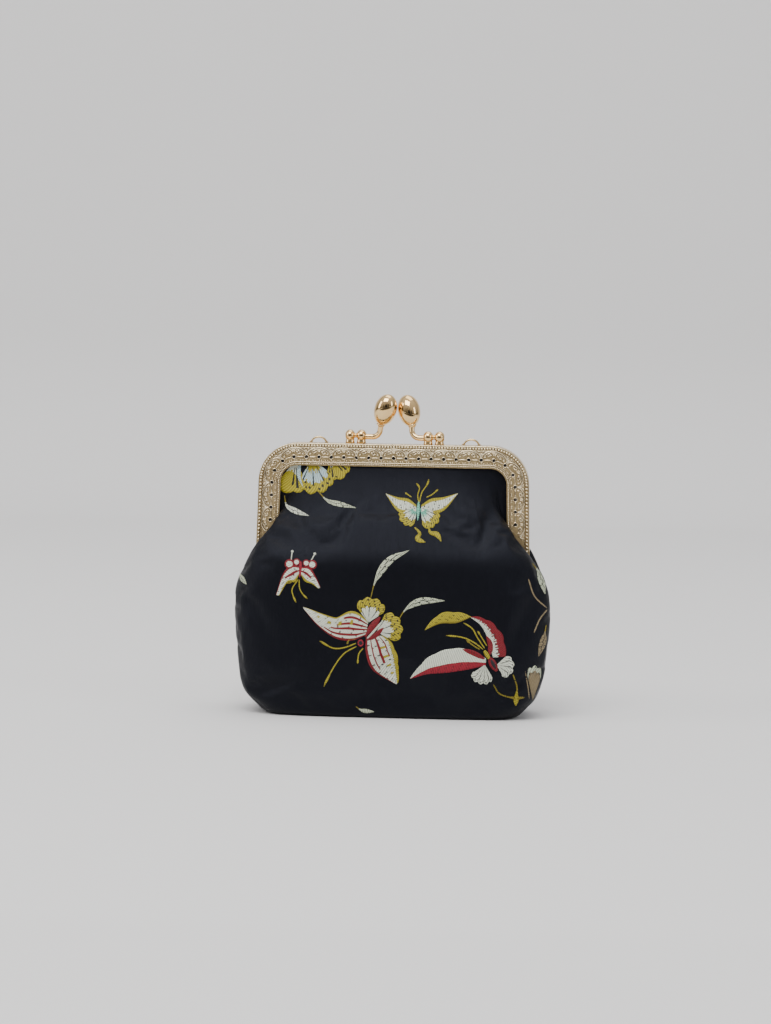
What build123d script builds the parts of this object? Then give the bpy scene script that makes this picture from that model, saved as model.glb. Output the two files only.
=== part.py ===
from build123d import *
import math
import os

# Coin purse with a sewn-on kiss-lock frame.  Millimetres, +Z up, -Y is the front.
# Origin: centre of the flat base, on the surface that the purse stands on.

# ---- driving dimensions: frame ----
FRAME_TOP = 104.0          # height of the top bar's upper face
LEG_FOOT = 62.0            # height at which the decorated band of each leg ends
FOOT_HALF_WIDTH = 52.8     # outer half width there
LEG_LEAN = 0.025           # the legs close in by this much for each mm of height
CORNER_RADIUS = 15.0       # outer corner of the frame
BAND = 8.6                 # width of the decorated band
SHEET = 0.9                # thickness of the pressed metal
FRAME_DEPTH = 4.6          # front face of one half to the meeting plane
PARTING = 0.15             # half of the gap between the closed halves
EDGE_ROUND = 0.5           # softened outer edge of the pressing

SEW_INSET = 5.3            # sewing line, measured in from the outer edge
SEW_PITCH = 4.8
SEW_HOLES_EACH_SIDE = 14   # holes on each side of the middle one
SEW_HOLE_RADIUS = 0.6
THREAD_RADIUS = 0.5
THREAD_DEPTH = 0.3         # thread starts this far below the band's front face

# ---- driving dimensions: hinge ----
HINGE_Z = 57.5
EAR_RADIUS = 3.6
EAR_GAP = 0.2              # between the two ears, and between ear and rivet head
RIVET_RADIUS = 1.1
HINGE_CLEARANCE = 0.05
RIVET_HEAD_RADIUS = 2.2
RIVET_HEAD = 0.7
RIVET_DOME = 0.56          # rounding of the rivet's outer heads
EAR_ROOT_RISE = 2.0        # the ear joins the leg from this far above the band's end
EAR_ROOT_DROP = 0.5        # to this far below it

# ---- driving dimensions: kiss-lock clasp ----
CLASP_Y = 2.4              # clasp feet, from the meeting plane
BEAD_X = (13.0, 17.4)
BEAD_Z = 107.0
BEAD_RADIUS = 2.25
BEAD_HALF_WIDTH = 1.6      # along the turning axis
BEAD_SHOULDER = 1.3        # radius of each bead's flat ends
NECK_RADIUS = 0.9
NECK_FLARE = 0.15
FOOT_RADIUS = 1.5
FOOT_FLARE = 0.3           # added to the foot's radius where it meets the bar
FOOT_WAIST = 0.6           # height of the foot's widest part
FOOT_HEIGHT = 1.6
SEAT_GAP = 0.02            # between a part riveted to the bar and the bar
STEM_RADIUS = 1.1
STEM_DROP = 0.4            # stem's axis below the beads' axis
STEM_BEND = 3.0
KNEE_X = 6.4               # where the stem turns up, before its shift
KNEE_SHIFT = 0.3           # both knees stand this far to the right
KNEE_SHARE = 0.55          # knee's share of the feet's distance from the meeting plane
BALL_RADIUS = 4.15
BALL_BELOW = 6.6
BALL_ABOVE = 5.9
EGG_STEPS = 12             # points on the outline of a turned egg, pole to pole
COLLAR_RADIUS = 1.75
COLLAR_LENGTH = 1.0
COLLAR_ROUND = 0.35

# ---- driving dimensions: chain loops ----
LOOP_X = 29.5
LOOP_HALF_SPAN = 3.0
LOOP_RISE = 2.2
LOOP_WIRE_RADIUS = 0.38
LOOP_START = 0.2           # wire ends above the bar
LOOP_PAD_RADIUS = 0.65
LOOP_PAD = 0.45

# ---- driving dimensions: pouch ----
# height, half width, half depth and plan corner radius of the outer cloth
POUCH_SECTIONS = (
    (0.0, 48.5, 16.5, 12.0),
    (3.5, 52.2, 19.0, 13.0),
    (9.0, 56.1, 20.2, 14.0),
    (18.5, 58.8, 20.7, 14.5),
    (35.0, 60.3, 20.8, 15.0),
    (47.0, 59.9, 20.2, 15.0),
    (56.5, 57.4, 19.4, 14.5),
)
OUTER_CLOTH = 0.8
WADDING = 1.2
LINING = 0.5
CLOTH_STACK = OUTER_CLOTH + WADDING + LINING
MOUTH_RADIUS = 16.6        # the cloth near the hinge turns on this radius about the hinge line
MOUTH_BREAK = 45.0         # angle from upright, about the hinge line, at which that radius starts
MOUTH_TOP = 95.2
MOUTH_TOP_Y = 4.0
MOUTH_TOP_TAPER = 0.4      # share of a layer's inset taken off the top edge's depth
MOUTH_FOOT = 57.5
FLANGE_FRONT = 3.5         # cloth held behind the band
FLANGE_FOOT = 64.5         # the flange ends above the ears
WINDOW_GAP = 0.2
RUN_OUT = 3.0              # cutting solids run past an open rim by this much

os.makedirs("parts", exist_ok=True)


def save(part, name):
    part.label = name
    export_step(part, f"parts/{name}.step")


def leg_x(z):
    """Outer half width of the frame at height z."""
    return FOOT_HALF_WIDTH - LEG_LEAN * (z - LEG_FOOT)


def frame_corners(inset, foot):
    """Corner points of the frame's outline, moved in by inset, from one foot to the other."""
    step = inset * math.hypot(1.0, LEG_LEAN)
    top = FRAME_TOP - inset
    low_x = leg_x(foot) - step
    top_x = leg_x(top) - step
    return [(-low_x, foot), (-top_x, top), (top_x, top), (low_x, foot)]


def frame_face(inset, foot=LEG_FOOT):
    """Face enclosed by the frame's outline, closed straight across the feet."""
    corners = frame_corners(inset, foot)
    with BuildSketch(mode=Mode.PRIVATE) as face:
        with BuildLine():
            FilletPolyline(*corners, radius=CORNER_RADIUS - inset)
            Line(corners[-1], corners[0])
        make_face()
    return face.sketch


def upright(y):
    """Plane of constant y whose normal points to the back: sketch x is X, sketch y is Z."""
    return Plane(origin=(0, y, 0), x_dir=(1, 0, 0), z_dir=(0, -1, 0))


sewing_line = FilletPolyline(*frame_corners(SEW_INSET, LEG_FOOT), radius=CORNER_RADIUS - SEW_INSET)


def sewing_points():
    points = []
    for step in range(-SEW_HOLES_EACH_SIDE, SEW_HOLES_EACH_SIDE + 1):
        spot = sewing_line @ (0.5 + step * SEW_PITCH / sewing_line.length)
        points.append((spot.X, spot.Y))
    return points


# =====================================================================================
# Frame halves, hinge and sewing
# =====================================================================================
EAR_OUTER = FOOT_HALF_WIDTH                       # outer face of the front half's ears
EAR_INNER = FOOT_HALF_WIDTH - SHEET - EAR_GAP     # outer face of the back half's ears


def frame_half(side, ear_face):
    """One pressed frame half: side is -1 for the front, +1 for the back."""
    face_y = side * FRAME_DEPTH
    with BuildPart() as half:
        # decorated band
        with BuildSketch(upright(face_y)):
            add(frame_face(0.0))
            add(frame_face(BAND), mode=Mode.SUBTRACT)
            with Locations(*sewing_points()):
                Circle(SEW_HOLE_RADIUS, mode=Mode.SUBTRACT)
        extrude(amount=side * SHEET)
        # rim wall that closes against the other half
        with BuildSketch(upright(face_y)):
            add(frame_face(0.0))
            add(frame_face(SHEET), mode=Mode.SUBTRACT)
        extrude(amount=side * (FRAME_DEPTH - PARTING))
        rims = half.edges().filter_by_position(Axis.Y, face_y - 0.01, face_y + 0.01)
        outer = [edge for edge in rims if on_outline(edge)]
        fillet(outer, radius=EDGE_ROUND)
        # ears that carry the hinge rivets
        for hand in (-1, 1):
            with BuildSketch(Plane.YZ.offset(hand * (ear_face - SHEET))):
                with Locations((0, HINGE_Z)):
                    Circle(EAR_RADIUS)
                with BuildLine():
                    Polyline(
                        (side * FRAME_DEPTH, LEG_FOOT + EAR_ROOT_RISE),
                        (side * PARTING, LEG_FOOT + EAR_ROOT_RISE),
                        (side * PARTING, HINGE_Z),
                        (side * EAR_RADIUS, HINGE_Z),
                        (side * FRAME_DEPTH, LEG_FOOT - EAR_ROOT_DROP),
                        close=True,
                    )
                make_face()
                with Locations((0, HINGE_Z)):
                    Circle(RIVET_RADIUS + HINGE_CLEARANCE, mode=Mode.SUBTRACT)
            extrude(amount=hand * SHEET)
    return half.part


def on_outline(edge):
    """True for an edge that lies on the frame's outermost line."""
    spot = edge @ 0.5
    if abs(spot.Z - FRAME_TOP) < 0.01:
        return True
    if abs(abs(spot.X) - leg_x(spot.Z)) < 0.01 and spot.Z > LEG_FOOT + 0.1:
        return True
    centre_x = leg_x(FRAME_TOP) - CORNER_RADIUS * (math.hypot(1.0, LEG_LEAN) - LEG_LEAN)
    centre_z = FRAME_TOP - CORNER_RADIUS
    reach = math.hypot(abs(spot.X) - centre_x, spot.Z - centre_z)
    return abs(reach - CORNER_RADIUS) < 0.05 and spot.Z > centre_z


save(frame_half(-1, EAR_OUTER), "front_frame")
save(frame_half(1, EAR_INNER), "back_frame")

for hand, name in ((-1, "left_hinge_rivet"), (1, "right_hinge_rivet")):
    inner_head = EAR_INNER - SHEET - EAR_GAP - RIVET_HEAD
    outer_head = EAR_OUTER + EAR_GAP
    with BuildPart() as rivet:
        with BuildSketch(Plane.YZ.offset(hand * inner_head)):
            with Locations((0, HINGE_Z)):
                Circle(RIVET_HEAD_RADIUS)
        extrude(amount=hand * RIVET_HEAD)
        with BuildSketch(Plane.YZ.offset(hand * inner_head)):
            with Locations((0, HINGE_Z)):
                Circle(RIVET_RADIUS)
        extrude(amount=hand * (outer_head + RIVET_HEAD - inner_head))
        with BuildSketch(Plane.YZ.offset(hand * outer_head)):
            with Locations((0, HINGE_Z)):
                Circle(RIVET_HEAD_RADIUS)
        extrude(amount=hand * RIVET_HEAD)
        domed = rivet.edges().filter_by(GeomType.CIRCLE)
        tips = [domed.sort_by(Axis.X)[0], domed.sort_by(Axis.X)[-1]]
        fillet(tips, radius=RIVET_DOME)
    save(rivet.part, name)

for side, name in ((-1, "front_sewing_thread"), (1, "back_sewing_thread")):
    with BuildPart() as thread:
        with BuildSketch(upright(side * (FRAME_DEPTH - THREAD_DEPTH))):
            with Locations(*sewing_points()):
                Circle(THREAD_RADIUS)
        extrude(amount=side * (FRAME_DEPTH - THREAD_DEPTH - FLANGE_FRONT))
    save(thread.part, name)

# =====================================================================================
# Kiss-lock clasp: each ball leans past the meeting plane, so the balls stand side by side
# =====================================================================================


def turned_egg(origin, axis, radius, below, above):
    """Solid egg standing along axis, its widest ring at origin."""
    with BuildPart(mode=Mode.PRIVATE) as egg:
        with BuildSketch(Plane.XZ):
            with BuildLine():
                outline = []
                for step in range(EGG_STEPS + 1):
                    turn = math.pi * step / EGG_STEPS
                    height = below if 2 * step < EGG_STEPS else above
                    outline.append((radius * math.sin(turn), -height * math.cos(turn)))
                outline[0] = (0.0, -below)
                outline[-1] = (0.0, above)
                Spline(*outline, tangents=((1, 0), (-1, 0)))
                Line(outline[-1], outline[0])
            make_face()
        revolve(axis=Axis.Z)
    return Plane(origin=origin, z_dir=axis).location * egg.part


def clasp(name, side, hand, ball_centre, collar_spot):
    """Clasp arm of one half: side is its half (-1 front), hand the side of its feet in X."""
    base_y = side * CLASP_Y
    base_z = FRAME_TOP
    axis = (Vector(*ball_centre) - Vector(*collar_spot)).normalized()
    # two beads and the neck between them, turned as one piece
    first, second = (Vector(x, 0) for x in BEAD_X)
    end = Vector(BEAD_HALF_WIDTH, 0)
    shoulder = Vector(0, BEAD_SHOULDER)
    with BuildPart() as beads:
        with BuildSketch(Plane(origin=(0, base_y, BEAD_Z), x_dir=(hand, 0, 0), z_dir=(0, -1, 0))):
            with BuildLine():
                Polyline(second + end + shoulder, second + end, first - end, first - end + shoulder)
                ThreePointArc(first - end + shoulder, first + Vector(0, BEAD_RADIUS), first + end + shoulder)
                Polyline(
                    first + end + shoulder,
                    first + end + Vector(NECK_FLARE, NECK_RADIUS),
                    second - end + Vector(-NECK_FLARE, NECK_RADIUS),
                    second - end + shoulder,
                )
                ThreePointArc(second - end + shoulder, second + Vector(0, BEAD_RADIUS), second + end + shoulder)
            make_face()
        revolve(axis=Axis((0, base_y, BEAD_Z), (1, 0, 0)))
    save(beads.part, f"{name}_clasp_beads")
    # flared feet that are riveted to the top bar
    with BuildPart() as feet:
        for x in BEAD_X:
            with BuildSketch(Plane(origin=(hand * x, base_y, base_z), x_dir=(1, 0, 0), z_dir=(0, -1, 0))):
                with BuildLine():
                    Polyline(
                        (0, SEAT_GAP),
                        (FOOT_RADIUS + FOOT_FLARE, SEAT_GAP),
                        (FOOT_RADIUS, FOOT_WAIST),
                        (NECK_RADIUS, FOOT_HEIGHT),
                        (0, FOOT_HEIGHT),
                        close=True,
                    )
                make_face()
            revolve(axis=Axis((hand * x, base_y, 0), (0, 0, 1)))
        add(beads.part, mode=Mode.SUBTRACT)
    save(feet.part, f"{name}_clasp_feet")
    # bent stem from the inner bead to the ball's collar
    start = Vector(hand * BEAD_X[0], base_y, BEAD_Z - STEM_DROP)
    knee = Vector(hand * KNEE_X + KNEE_SHIFT, base_y * KNEE_SHARE, BEAD_Z - STEM_DROP)
    with BuildPart() as stem:
        with BuildLine() as route:
            FilletPolyline(start, knee, Vector(*collar_spot), radius=STEM_BEND)
        with BuildSketch(Plane(origin=start, z_dir=(knee - start).normalized())):
            Circle(STEM_RADIUS)
        sweep(path=route.wires()[0])
        add(beads.part, mode=Mode.SUBTRACT)
    save(stem.part, f"{name}_clasp_stem")
    # collar under the ball
    with BuildPart() as collar:
        with BuildSketch(Plane(origin=Vector(*collar_spot), z_dir=axis)):
            Circle(COLLAR_RADIUS)
        extrude(amount=COLLAR_LENGTH)
        rounded = collar.edges().filter_by(GeomType.CIRCLE)
        fillet(rounded, radius=COLLAR_ROUND)
        add(stem.part, mode=Mode.SUBTRACT)
    # egg-shaped ball, tapering towards its collar
    with BuildPart() as ball:
        add(turned_egg(ball_centre, axis, BALL_RADIUS, BALL_BELOW, BALL_ABOVE))
    with BuildPart() as trimmed_collar:
        add(collar.part)
        add(ball.part, mode=Mode.SUBTRACT)
    save(trimmed_collar.part, f"{name}_clasp_collar")
    save(ball.part, f"{name}_clasp_ball")


clasp("back", 1, -1, (-3.60, -1.2, 117.6), (-5.55, 0.4, 111.2))
clasp("front", -1, 1, (5.20, 1.2, 117.4), (6.75, -0.4, 111.0))

# =====================================================================================
# Chain loops on the back half's top bar
# =====================================================================================
for hand, name in ((-1, "left_chain_loop"), (1, "right_chain_loop")):
    loop_y = CLASP_Y
    with BuildPart() as loop:
        with BuildLine() as arch:
            ThreePointArc(
                (hand * LOOP_X - LOOP_HALF_SPAN, loop_y, FRAME_TOP + LOOP_START),
                (hand * LOOP_X, loop_y, FRAME_TOP + LOOP_RISE),
                (hand * LOOP_X + LOOP_HALF_SPAN, loop_y, FRAME_TOP + LOOP_START),
            )
        with BuildSketch(Plane(origin=arch.wires()[0] @ 0, z_dir=arch.wires()[0] % 0)):
            Circle(LOOP_WIRE_RADIUS)
        sweep(path=arch.wires()[0])
        # small pads that are soldered to the bar
        for end in (-1, 1):
            with BuildSketch(Plane.XY.offset(FRAME_TOP + SEAT_GAP)):
                with Locations((hand * LOOP_X + end * LOOP_HALF_SPAN, loop_y)):
                    Circle(LOOP_PAD_RADIUS)
            extrude(amount=LOOP_PAD)
        split(bisect_by=Plane.XY.offset(FRAME_TOP + SEAT_GAP), keep=Keep.TOP)
    save(loop.part, name)

# =====================================================================================
# Pouch: three layers of cloth below the hinge line
# =====================================================================================


def pouch_size(z):
    """Half width, half depth and corner radius of the outer cloth at height z."""
    for low, high in zip(POUCH_SECTIONS, POUCH_SECTIONS[1:]):
        if low[0] <= z <= high[0]:
            share = (z - low[0]) / (high[0] - low[0])
            return [a + share * (b - a) for a, b in zip(low[1:], high[1:])]
    return list(POUCH_SECTIONS[-1][1:])


def pouch_solid(inset, top_extra=0.0):
    """Solid inside the pouch's outer surface moved in by inset."""
    heights = [inset] + [section[0] for section in POUCH_SECTIONS[1:]]
    if top_extra:
        heights.append(POUCH_SECTIONS[-1][0] + top_extra)
    with BuildPart(mode=Mode.PRIVATE) as body:
        for z in heights:
            half_width, half_depth, radius = pouch_size(z)
            with BuildSketch(Plane.XY.offset(z)):
                RectangleRounded(2 * (half_width - inset), 2 * (half_depth - inset), radius - inset)
        loft()
    return body.part


def pouch_layer(outer_inset, inner_inset, side):
    """One cloth layer of the pouch on one side of the side seams."""
    keep = Keep.BOTTOM if side < 0 else Keep.TOP
    with BuildPart() as layer:
        add(pouch_solid(outer_inset))
        add(pouch_solid(inner_inset, top_extra=RUN_OUT), mode=Mode.SUBTRACT)
        split(bisect_by=Plane.XZ.offset(0).rotated((180, 0, 0)), keep=keep)
    return layer.part


LAYERS = (
    ("outer_panel", 0.0, OUTER_CLOTH),
    ("wadding", OUTER_CLOTH, OUTER_CLOTH + WADDING),
    ("lining", OUTER_CLOTH + WADDING, CLOTH_STACK),
)

# =====================================================================================
# Mouth cloth: the same three layers above the hinge line, sewn behind each frame half
# =====================================================================================


def hood_region(inset):
    """Side outline of the space inside the mouth cloth, moved in by inset."""
    turn = math.radians(MOUTH_BREAK)
    radius = MOUTH_RADIUS - inset
    break_y = radius * math.sin(turn)
    break_z = HINGE_Z + radius * math.cos(turn)
    half_turn = math.radians((90.0 + MOUTH_BREAK) / 2)
    mid = (radius * math.sin(half_turn), HINGE_Z + radius * math.cos(half_turn))
    top_z = MOUTH_TOP - inset
    with BuildSketch(mode=Mode.PRIVATE) as region:
        with BuildLine():
            Line((0, MOUTH_FOOT), (radius, MOUTH_FOOT))
            ThreePointArc((radius, MOUTH_FOOT), mid, (break_y, break_z))
            Line((break_y, break_z), (MOUTH_TOP_Y - inset * MOUTH_TOP_TAPER, top_z))
            Line((MOUTH_TOP_Y - inset * MOUTH_TOP_TAPER, top_z), (0, top_z))
            Line((0, top_z), (0, MOUTH_FOOT))
        make_face()
    return region.sketch


def hood_solid(inset, side):
    """Solid inside the mouth cloth moved in by inset, between the legs of one frame half."""
    plane = Plane(origin=(-side * FOOT_HALF_WIDTH, 0, 0), x_dir=(0, side, 0), z_dir=(side, 0, 0))
    length = 2 * FOOT_HALF_WIDTH
    with BuildPart(mode=Mode.PRIVATE) as body:
        with BuildSketch(plane):
            add(hood_region(inset))
        extrude(amount=length)
        with BuildSketch(upright(0)):
            add(frame_face(BAND + WINDOW_GAP + inset, foot=MOUTH_FOOT - 1.0))
        extrude(amount=-side * 2 * MOUTH_RADIUS, mode=Mode.INTERSECT)
    return body.part


def mouth_layer(outer_inset, inner_inset, side):
    """One cloth layer of the mouth: hood in the frame's window and flange behind the band."""
    flange_y = FLANGE_FRONT - outer_inset
    with BuildPart() as layer:
        add(hood_solid(outer_inset, side))
        with BuildSketch(upright(side * flange_y)):
            add(frame_face(SHEET + WINDOW_GAP, foot=FLANGE_FOOT))
        extrude(amount=side * (inner_inset - outer_inset))
        add(hood_solid(inner_inset, side), mode=Mode.SUBTRACT)
        # the meeting plane side is open
        with BuildSketch(upright(0)):
            Rectangle(4 * FOOT_HALF_WIDTH, 4 * FRAME_TOP)
        extrude(amount=-side * (FLANGE_FRONT - inner_inset), mode=Mode.SUBTRACT)
    return layer.part


for side, name in ((-1, "front"), (1, "back")):
    for layer_name, outer_inset, inner_inset in LAYERS:
        save(pouch_layer(outer_inset, inner_inset, side), f"{name}_{layer_name}")
        save(mouth_layer(outer_inset, inner_inset, side), f"{name}_mouth_{layer_name}")
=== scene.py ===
import math

import bmesh
import bpy
import numpy as np
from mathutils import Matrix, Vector
from mathutils.bvhtree import BVHTree


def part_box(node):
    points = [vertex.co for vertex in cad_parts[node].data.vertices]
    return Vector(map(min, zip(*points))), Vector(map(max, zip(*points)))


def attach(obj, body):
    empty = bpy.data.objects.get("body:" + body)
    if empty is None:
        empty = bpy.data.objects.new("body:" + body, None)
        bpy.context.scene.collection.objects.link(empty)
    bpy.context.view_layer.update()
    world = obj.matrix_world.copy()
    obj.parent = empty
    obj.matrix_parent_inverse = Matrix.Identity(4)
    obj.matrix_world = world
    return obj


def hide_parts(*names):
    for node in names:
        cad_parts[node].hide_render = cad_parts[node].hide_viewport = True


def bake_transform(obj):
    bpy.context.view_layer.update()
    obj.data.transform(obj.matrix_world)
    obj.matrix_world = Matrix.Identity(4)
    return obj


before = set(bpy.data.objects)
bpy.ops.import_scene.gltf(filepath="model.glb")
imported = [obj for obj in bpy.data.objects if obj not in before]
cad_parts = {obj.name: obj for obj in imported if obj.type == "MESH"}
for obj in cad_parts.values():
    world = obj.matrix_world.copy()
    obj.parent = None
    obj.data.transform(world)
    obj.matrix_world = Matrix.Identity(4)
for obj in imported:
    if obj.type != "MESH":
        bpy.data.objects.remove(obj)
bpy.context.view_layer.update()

MM = 0.001

# ---- places read from the frame ----
def node_box(node):
    """Lowest and highest corners of a node, in millimetres."""
    return tuple(Vector(corner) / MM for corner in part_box(node))


FRAME_LOW, FRAME_HIGH = node_box("front_frame")
FRAME_TOP = FRAME_HIGH.z
FOOT_HALF_WIDTH = FRAME_HIGH.x
BAND_FRONT = -FRAME_LOW.y

# ---- the pressed band, in millimetres ----
LEG_FOOT = 62.0
LEG_LEAN = 0.025
CORNER_RADIUS = 15.0
SEW_INSET = 5.3
SEW_PITCH = 4.8
SEW_HOLES_EACH_SIDE = 14
SEW_HOLE_RADIUS = 0.6
TOP_BEAD_INSET = 0.98
ROPE_INSET = 1.0
INNER_BEAD_INSET = 7.95
BEAD_LIFT = 0.08
STRAND_RADIUS = 0.22
STRAND_DEPTH = 0.45

# ---- thread colours ----
WHITE = (0.74, 0.78, 0.64)
SAGE = (0.58, 0.63, 0.45)
OLIVE = (0.27, 0.21, 0.010)
YELLOW = (0.42, 0.35, 0.015)
RED = (0.23, 0.002, 0.010)
ROSE = (0.33, 0.007, 0.024)
MINT = (0.20, 0.58, 0.42)
SAND = (0.30, 0.23, 0.12)
PALE_BLUE = (0.50, 0.66, 0.68)
GAP = (0.008, 0.008, 0.012)


# ---- Shader maths ----


class Wire:
    """One output socket in a material's tree, so that shader maths reads as Python."""

    def __init__(self, socket):
        self.socket = socket
        self.tree = socket.id_data

    def node(self, kind, settings=None, values=None, output=0):
        made = self.tree.nodes.new(kind)
        for name, value in (settings or {}).items():
            if name == "stops":
                set_stops(made.color_ramp, value)
            else:
                setattr(made, name, value)
        for name, value in (values or {}).items():
            if isinstance(value, Wire):
                self.tree.links.new(value.socket, made.inputs[name])
            else:
                made.inputs[name].default_value = value
        return Wire(made.outputs[output])

    def maths(self, operation, first, second=0.0):
        return self.node("ShaderNodeMath", {"operation": operation}, {0: first, 1: second})

    def __add__(self, other):
        return self.maths("ADD", self, other)

    def __radd__(self, other):
        return self.maths("ADD", other, self)

    def __sub__(self, other):
        return self.maths("SUBTRACT", self, other)

    def __rsub__(self, other):
        return self.maths("SUBTRACT", other, self)

    def __mul__(self, other):
        return self.maths("MULTIPLY", self, other)

    def __rmul__(self, other):
        return self.maths("MULTIPLY", other, self)

    def __truediv__(self, other):
        return self.maths("DIVIDE", self, other)

    def __pow__(self, other):
        return self.maths("POWER", self, other)

    def sine(self):
        return self.maths("SINE", self)

    def blend(self, low, high):
        """Colour from low to high as this value goes from 0 to 1."""
        return self.node("ShaderNodeMix", {"data_type": "RGBA"}, {0: self, 6: low, 7: high}, 2)

    def noise(self, scale, detail=3.0, stretch=(1, 1, 1)):
        place = self.node("ShaderNodeMapping", None, {"Vector": self, "Scale": stretch})
        return self.node("ShaderNodeTexNoise", None, {"Vector": place, "Scale": scale, "Detail": detail})

    def part(self, name):
        split = self.tree.nodes.new("ShaderNodeSeparateXYZ")
        self.tree.links.new(self.socket, split.inputs[0])
        return Wire(split.outputs[name])

    def relief(self, strength, distance):
        """Surface normal raised by this height."""
        values = {"Height": self, "Strength": strength, "Distance": distance}
        return self.node("ShaderNodeBump", None, values)


def set_stops(ramp, stops):
    while len(ramp.elements) < len(stops):
        ramp.elements.new(0.5)
    for element, (place, colour) in zip(ramp.elements, stops):
        element.position = place
        element.color = colour


def shade(colour):
    return (*colour, 1.0)


def new_material(name):
    """Material, its Principled shader and its coordinate node."""
    material = bpy.data.materials.new(name)
    material.use_nodes = True
    tree = material.node_tree
    shader = tree.nodes["Principled BSDF"]
    places = tree.nodes.new("ShaderNodeTexCoord")
    return material, shader, places


def feed(shader, **inputs):
    """Sets or links the shader's inputs; an underscore in a name stands for a space."""
    for name, value in inputs.items():
        socket = shader.inputs[name.replace("_", " ")]
        if isinstance(value, Wire):
            shader.id_data.links.new(value.socket, socket)
        else:
            socket.default_value = value


def champagne_gold(name, dark, light, roughness, grain):
    """Pale plating of the pressed band, with painted shade darkening its hollows; grain is the depth of its
    stipple.
    """
    material, shader, places = new_material(name)
    here = Wire(places.outputs["Object"])
    stipple = here.noise(2600.0, 2.0)
    cloud = here.noise(160.0, 3.0)
    # painted shade: ambient occlusion darkens the colour towards dark brown in the hollows of the relief
    painted_hollow_shade = here.node("ShaderNodeAmbientOcclusion", {"samples": 8}, {"Distance": 0.0009}, "AO")
    feed(
        shader,
        Base_Color=(painted_hollow_shade ** 1.8).blend(shade((0.20, 0.13, 0.05)), cloud.blend(shade(dark), shade(light))),
        Metallic=1.0,
        Roughness=roughness + cloud * 0.08 + stipple * 0.06,
        Normal=stipple.relief(grain, 0.00016),
    )
    return material


def polished_gold():
    """Mirror-like warm plating of the clasp, with faint wiping marks."""
    material, shader, places = new_material("polished_gold")
    here = Wire(places.outputs["Object"])
    cloud = here.noise(220.0, 3.0)
    wipe = here.noise(900.0, 2.0, (1, 1, 6))
    feed(
        shader,
        Base_Color=cloud.blend(shade((0.80, 0.52, 0.22)), shade((0.88, 0.63, 0.31))),
        Metallic=1.0,
        Roughness=0.055 + cloud * 0.05 + wipe * 0.03,
        Normal=wipe.relief(0.04, 0.00005),
    )
    return material


def hidden_gold():
    """Plain plated metal of rivets and wire loops."""
    material, shader, places = new_material("plated_wire_gold")
    here = Wire(places.outputs["Object"])
    cloud = here.noise(700.0, 3.0)
    feed(
        shader,
        Base_Color=cloud.blend(shade((0.70, 0.52, 0.28)), shade((0.82, 0.68, 0.42))),
        Metallic=1.0,
        Roughness=0.16 + cloud * 0.14,
        Normal=cloud.relief(0.08, 0.0001),
    )
    return material


def satin_brocade():
    """Black satin with a navy bloom and fine upright warp threads."""
    material, shader, places = new_material("black_satin_brocade")
    flat = Wire(places.outputs["UV"])
    across = flat.part("X")
    along = flat.part("Y")
    slub = flat.noise(9.0, 3.0, (40, 2, 1))
    cloud = flat.noise(2.2, 3.0)
    warp = (across * 1500.0 + slub * 3.0).sine() * 0.5 + 0.5
    weft = (along * 2300.0 + cloud * 5.0).sine() * 0.5 + 0.5
    weave = warp * 0.7 + weft * 0.3
    bloom = cloud * 0.6 + slub * 0.4
    feed(
        shader,
        Base_Color=bloom.blend(shade((0.0006, 0.0006, 0.0007)), shade((0.0022, 0.0023, 0.0034))),
        Roughness=0.31 + slub * 0.12 + weave * 0.04,
        Specular_IOR_Level=0.19,
        Specular_Tint=shade((0.72, 0.77, 1.0)),
        Normal=(weave + slub * 0.8).relief(0.45, 0.00014),
    )
    return material


def brocade_thread():
    """Coloured floss of the woven motifs; the strands run along each petal."""
    material, shader, places = new_material("brocade_floss")
    tree = shader.id_data
    dye = tree.nodes.new("ShaderNodeAttribute")
    dye.attribute_name = "floss"
    colour = Wire(dye.outputs["Color"])
    flat = Wire(places.outputs["UV"])
    fibre = flat.noise(1.4, 3.0, (3, 1, 1))
    strand = (flat.part("X") * 9.0 + flat.part("Y") * 4.0 + fibre * 3.0).sine() * 0.5 + 0.5
    light = (strand ** 0.45) * 0.75 + fibre * 0.35
    shadow = colour.node("ShaderNodeVectorMath", {"operation": "SCALE"}, {0: colour, 3: 0.14})
    feed(
        shader,
        Base_Color=light.node("ShaderNodeMix", {"data_type": "RGBA"}, {0: light, 6: shadow, 7: colour}, 2),
        Roughness=0.45 + fibre * 0.18,
        Specular_IOR_Level=0.35,
        Normal=strand.relief(0.7, 0.00018),
    )
    return material


def lining_cloth():
    material, shader, places = new_material("dark_lining")
    flat = Wire(places.outputs["UV"])
    warp = (flat.part("X") * 1100.0).sine() * 0.5 + 0.5
    weft = (flat.part("Y") * 1100.0).sine() * 0.5 + 0.5
    cloud = flat.noise(6.0, 3.0)
    feed(
        shader,
        Base_Color=cloud.blend(shade((0.020, 0.020, 0.026)), shade((0.045, 0.045, 0.055))),
        Roughness=0.72 + cloud * 0.12,
        Sheen_Weight=0.2,
        Normal=(warp * weft).relief(0.4, 0.00015),
    )
    return material


def sewing_cotton():
    material, shader, places = new_material("black_sewing_thread")
    here = Wire(places.outputs["Object"])
    fibre = here.noise(3000.0, 3.0)
    feed(
        shader,
        Base_Color=fibre.blend(shade((0.006, 0.006, 0.008)), shade((0.022, 0.022, 0.028))),
        Roughness=0.6 + fibre * 0.2,
        Normal=fibre.relief(0.4, 0.0001),
    )
    return material


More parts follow.
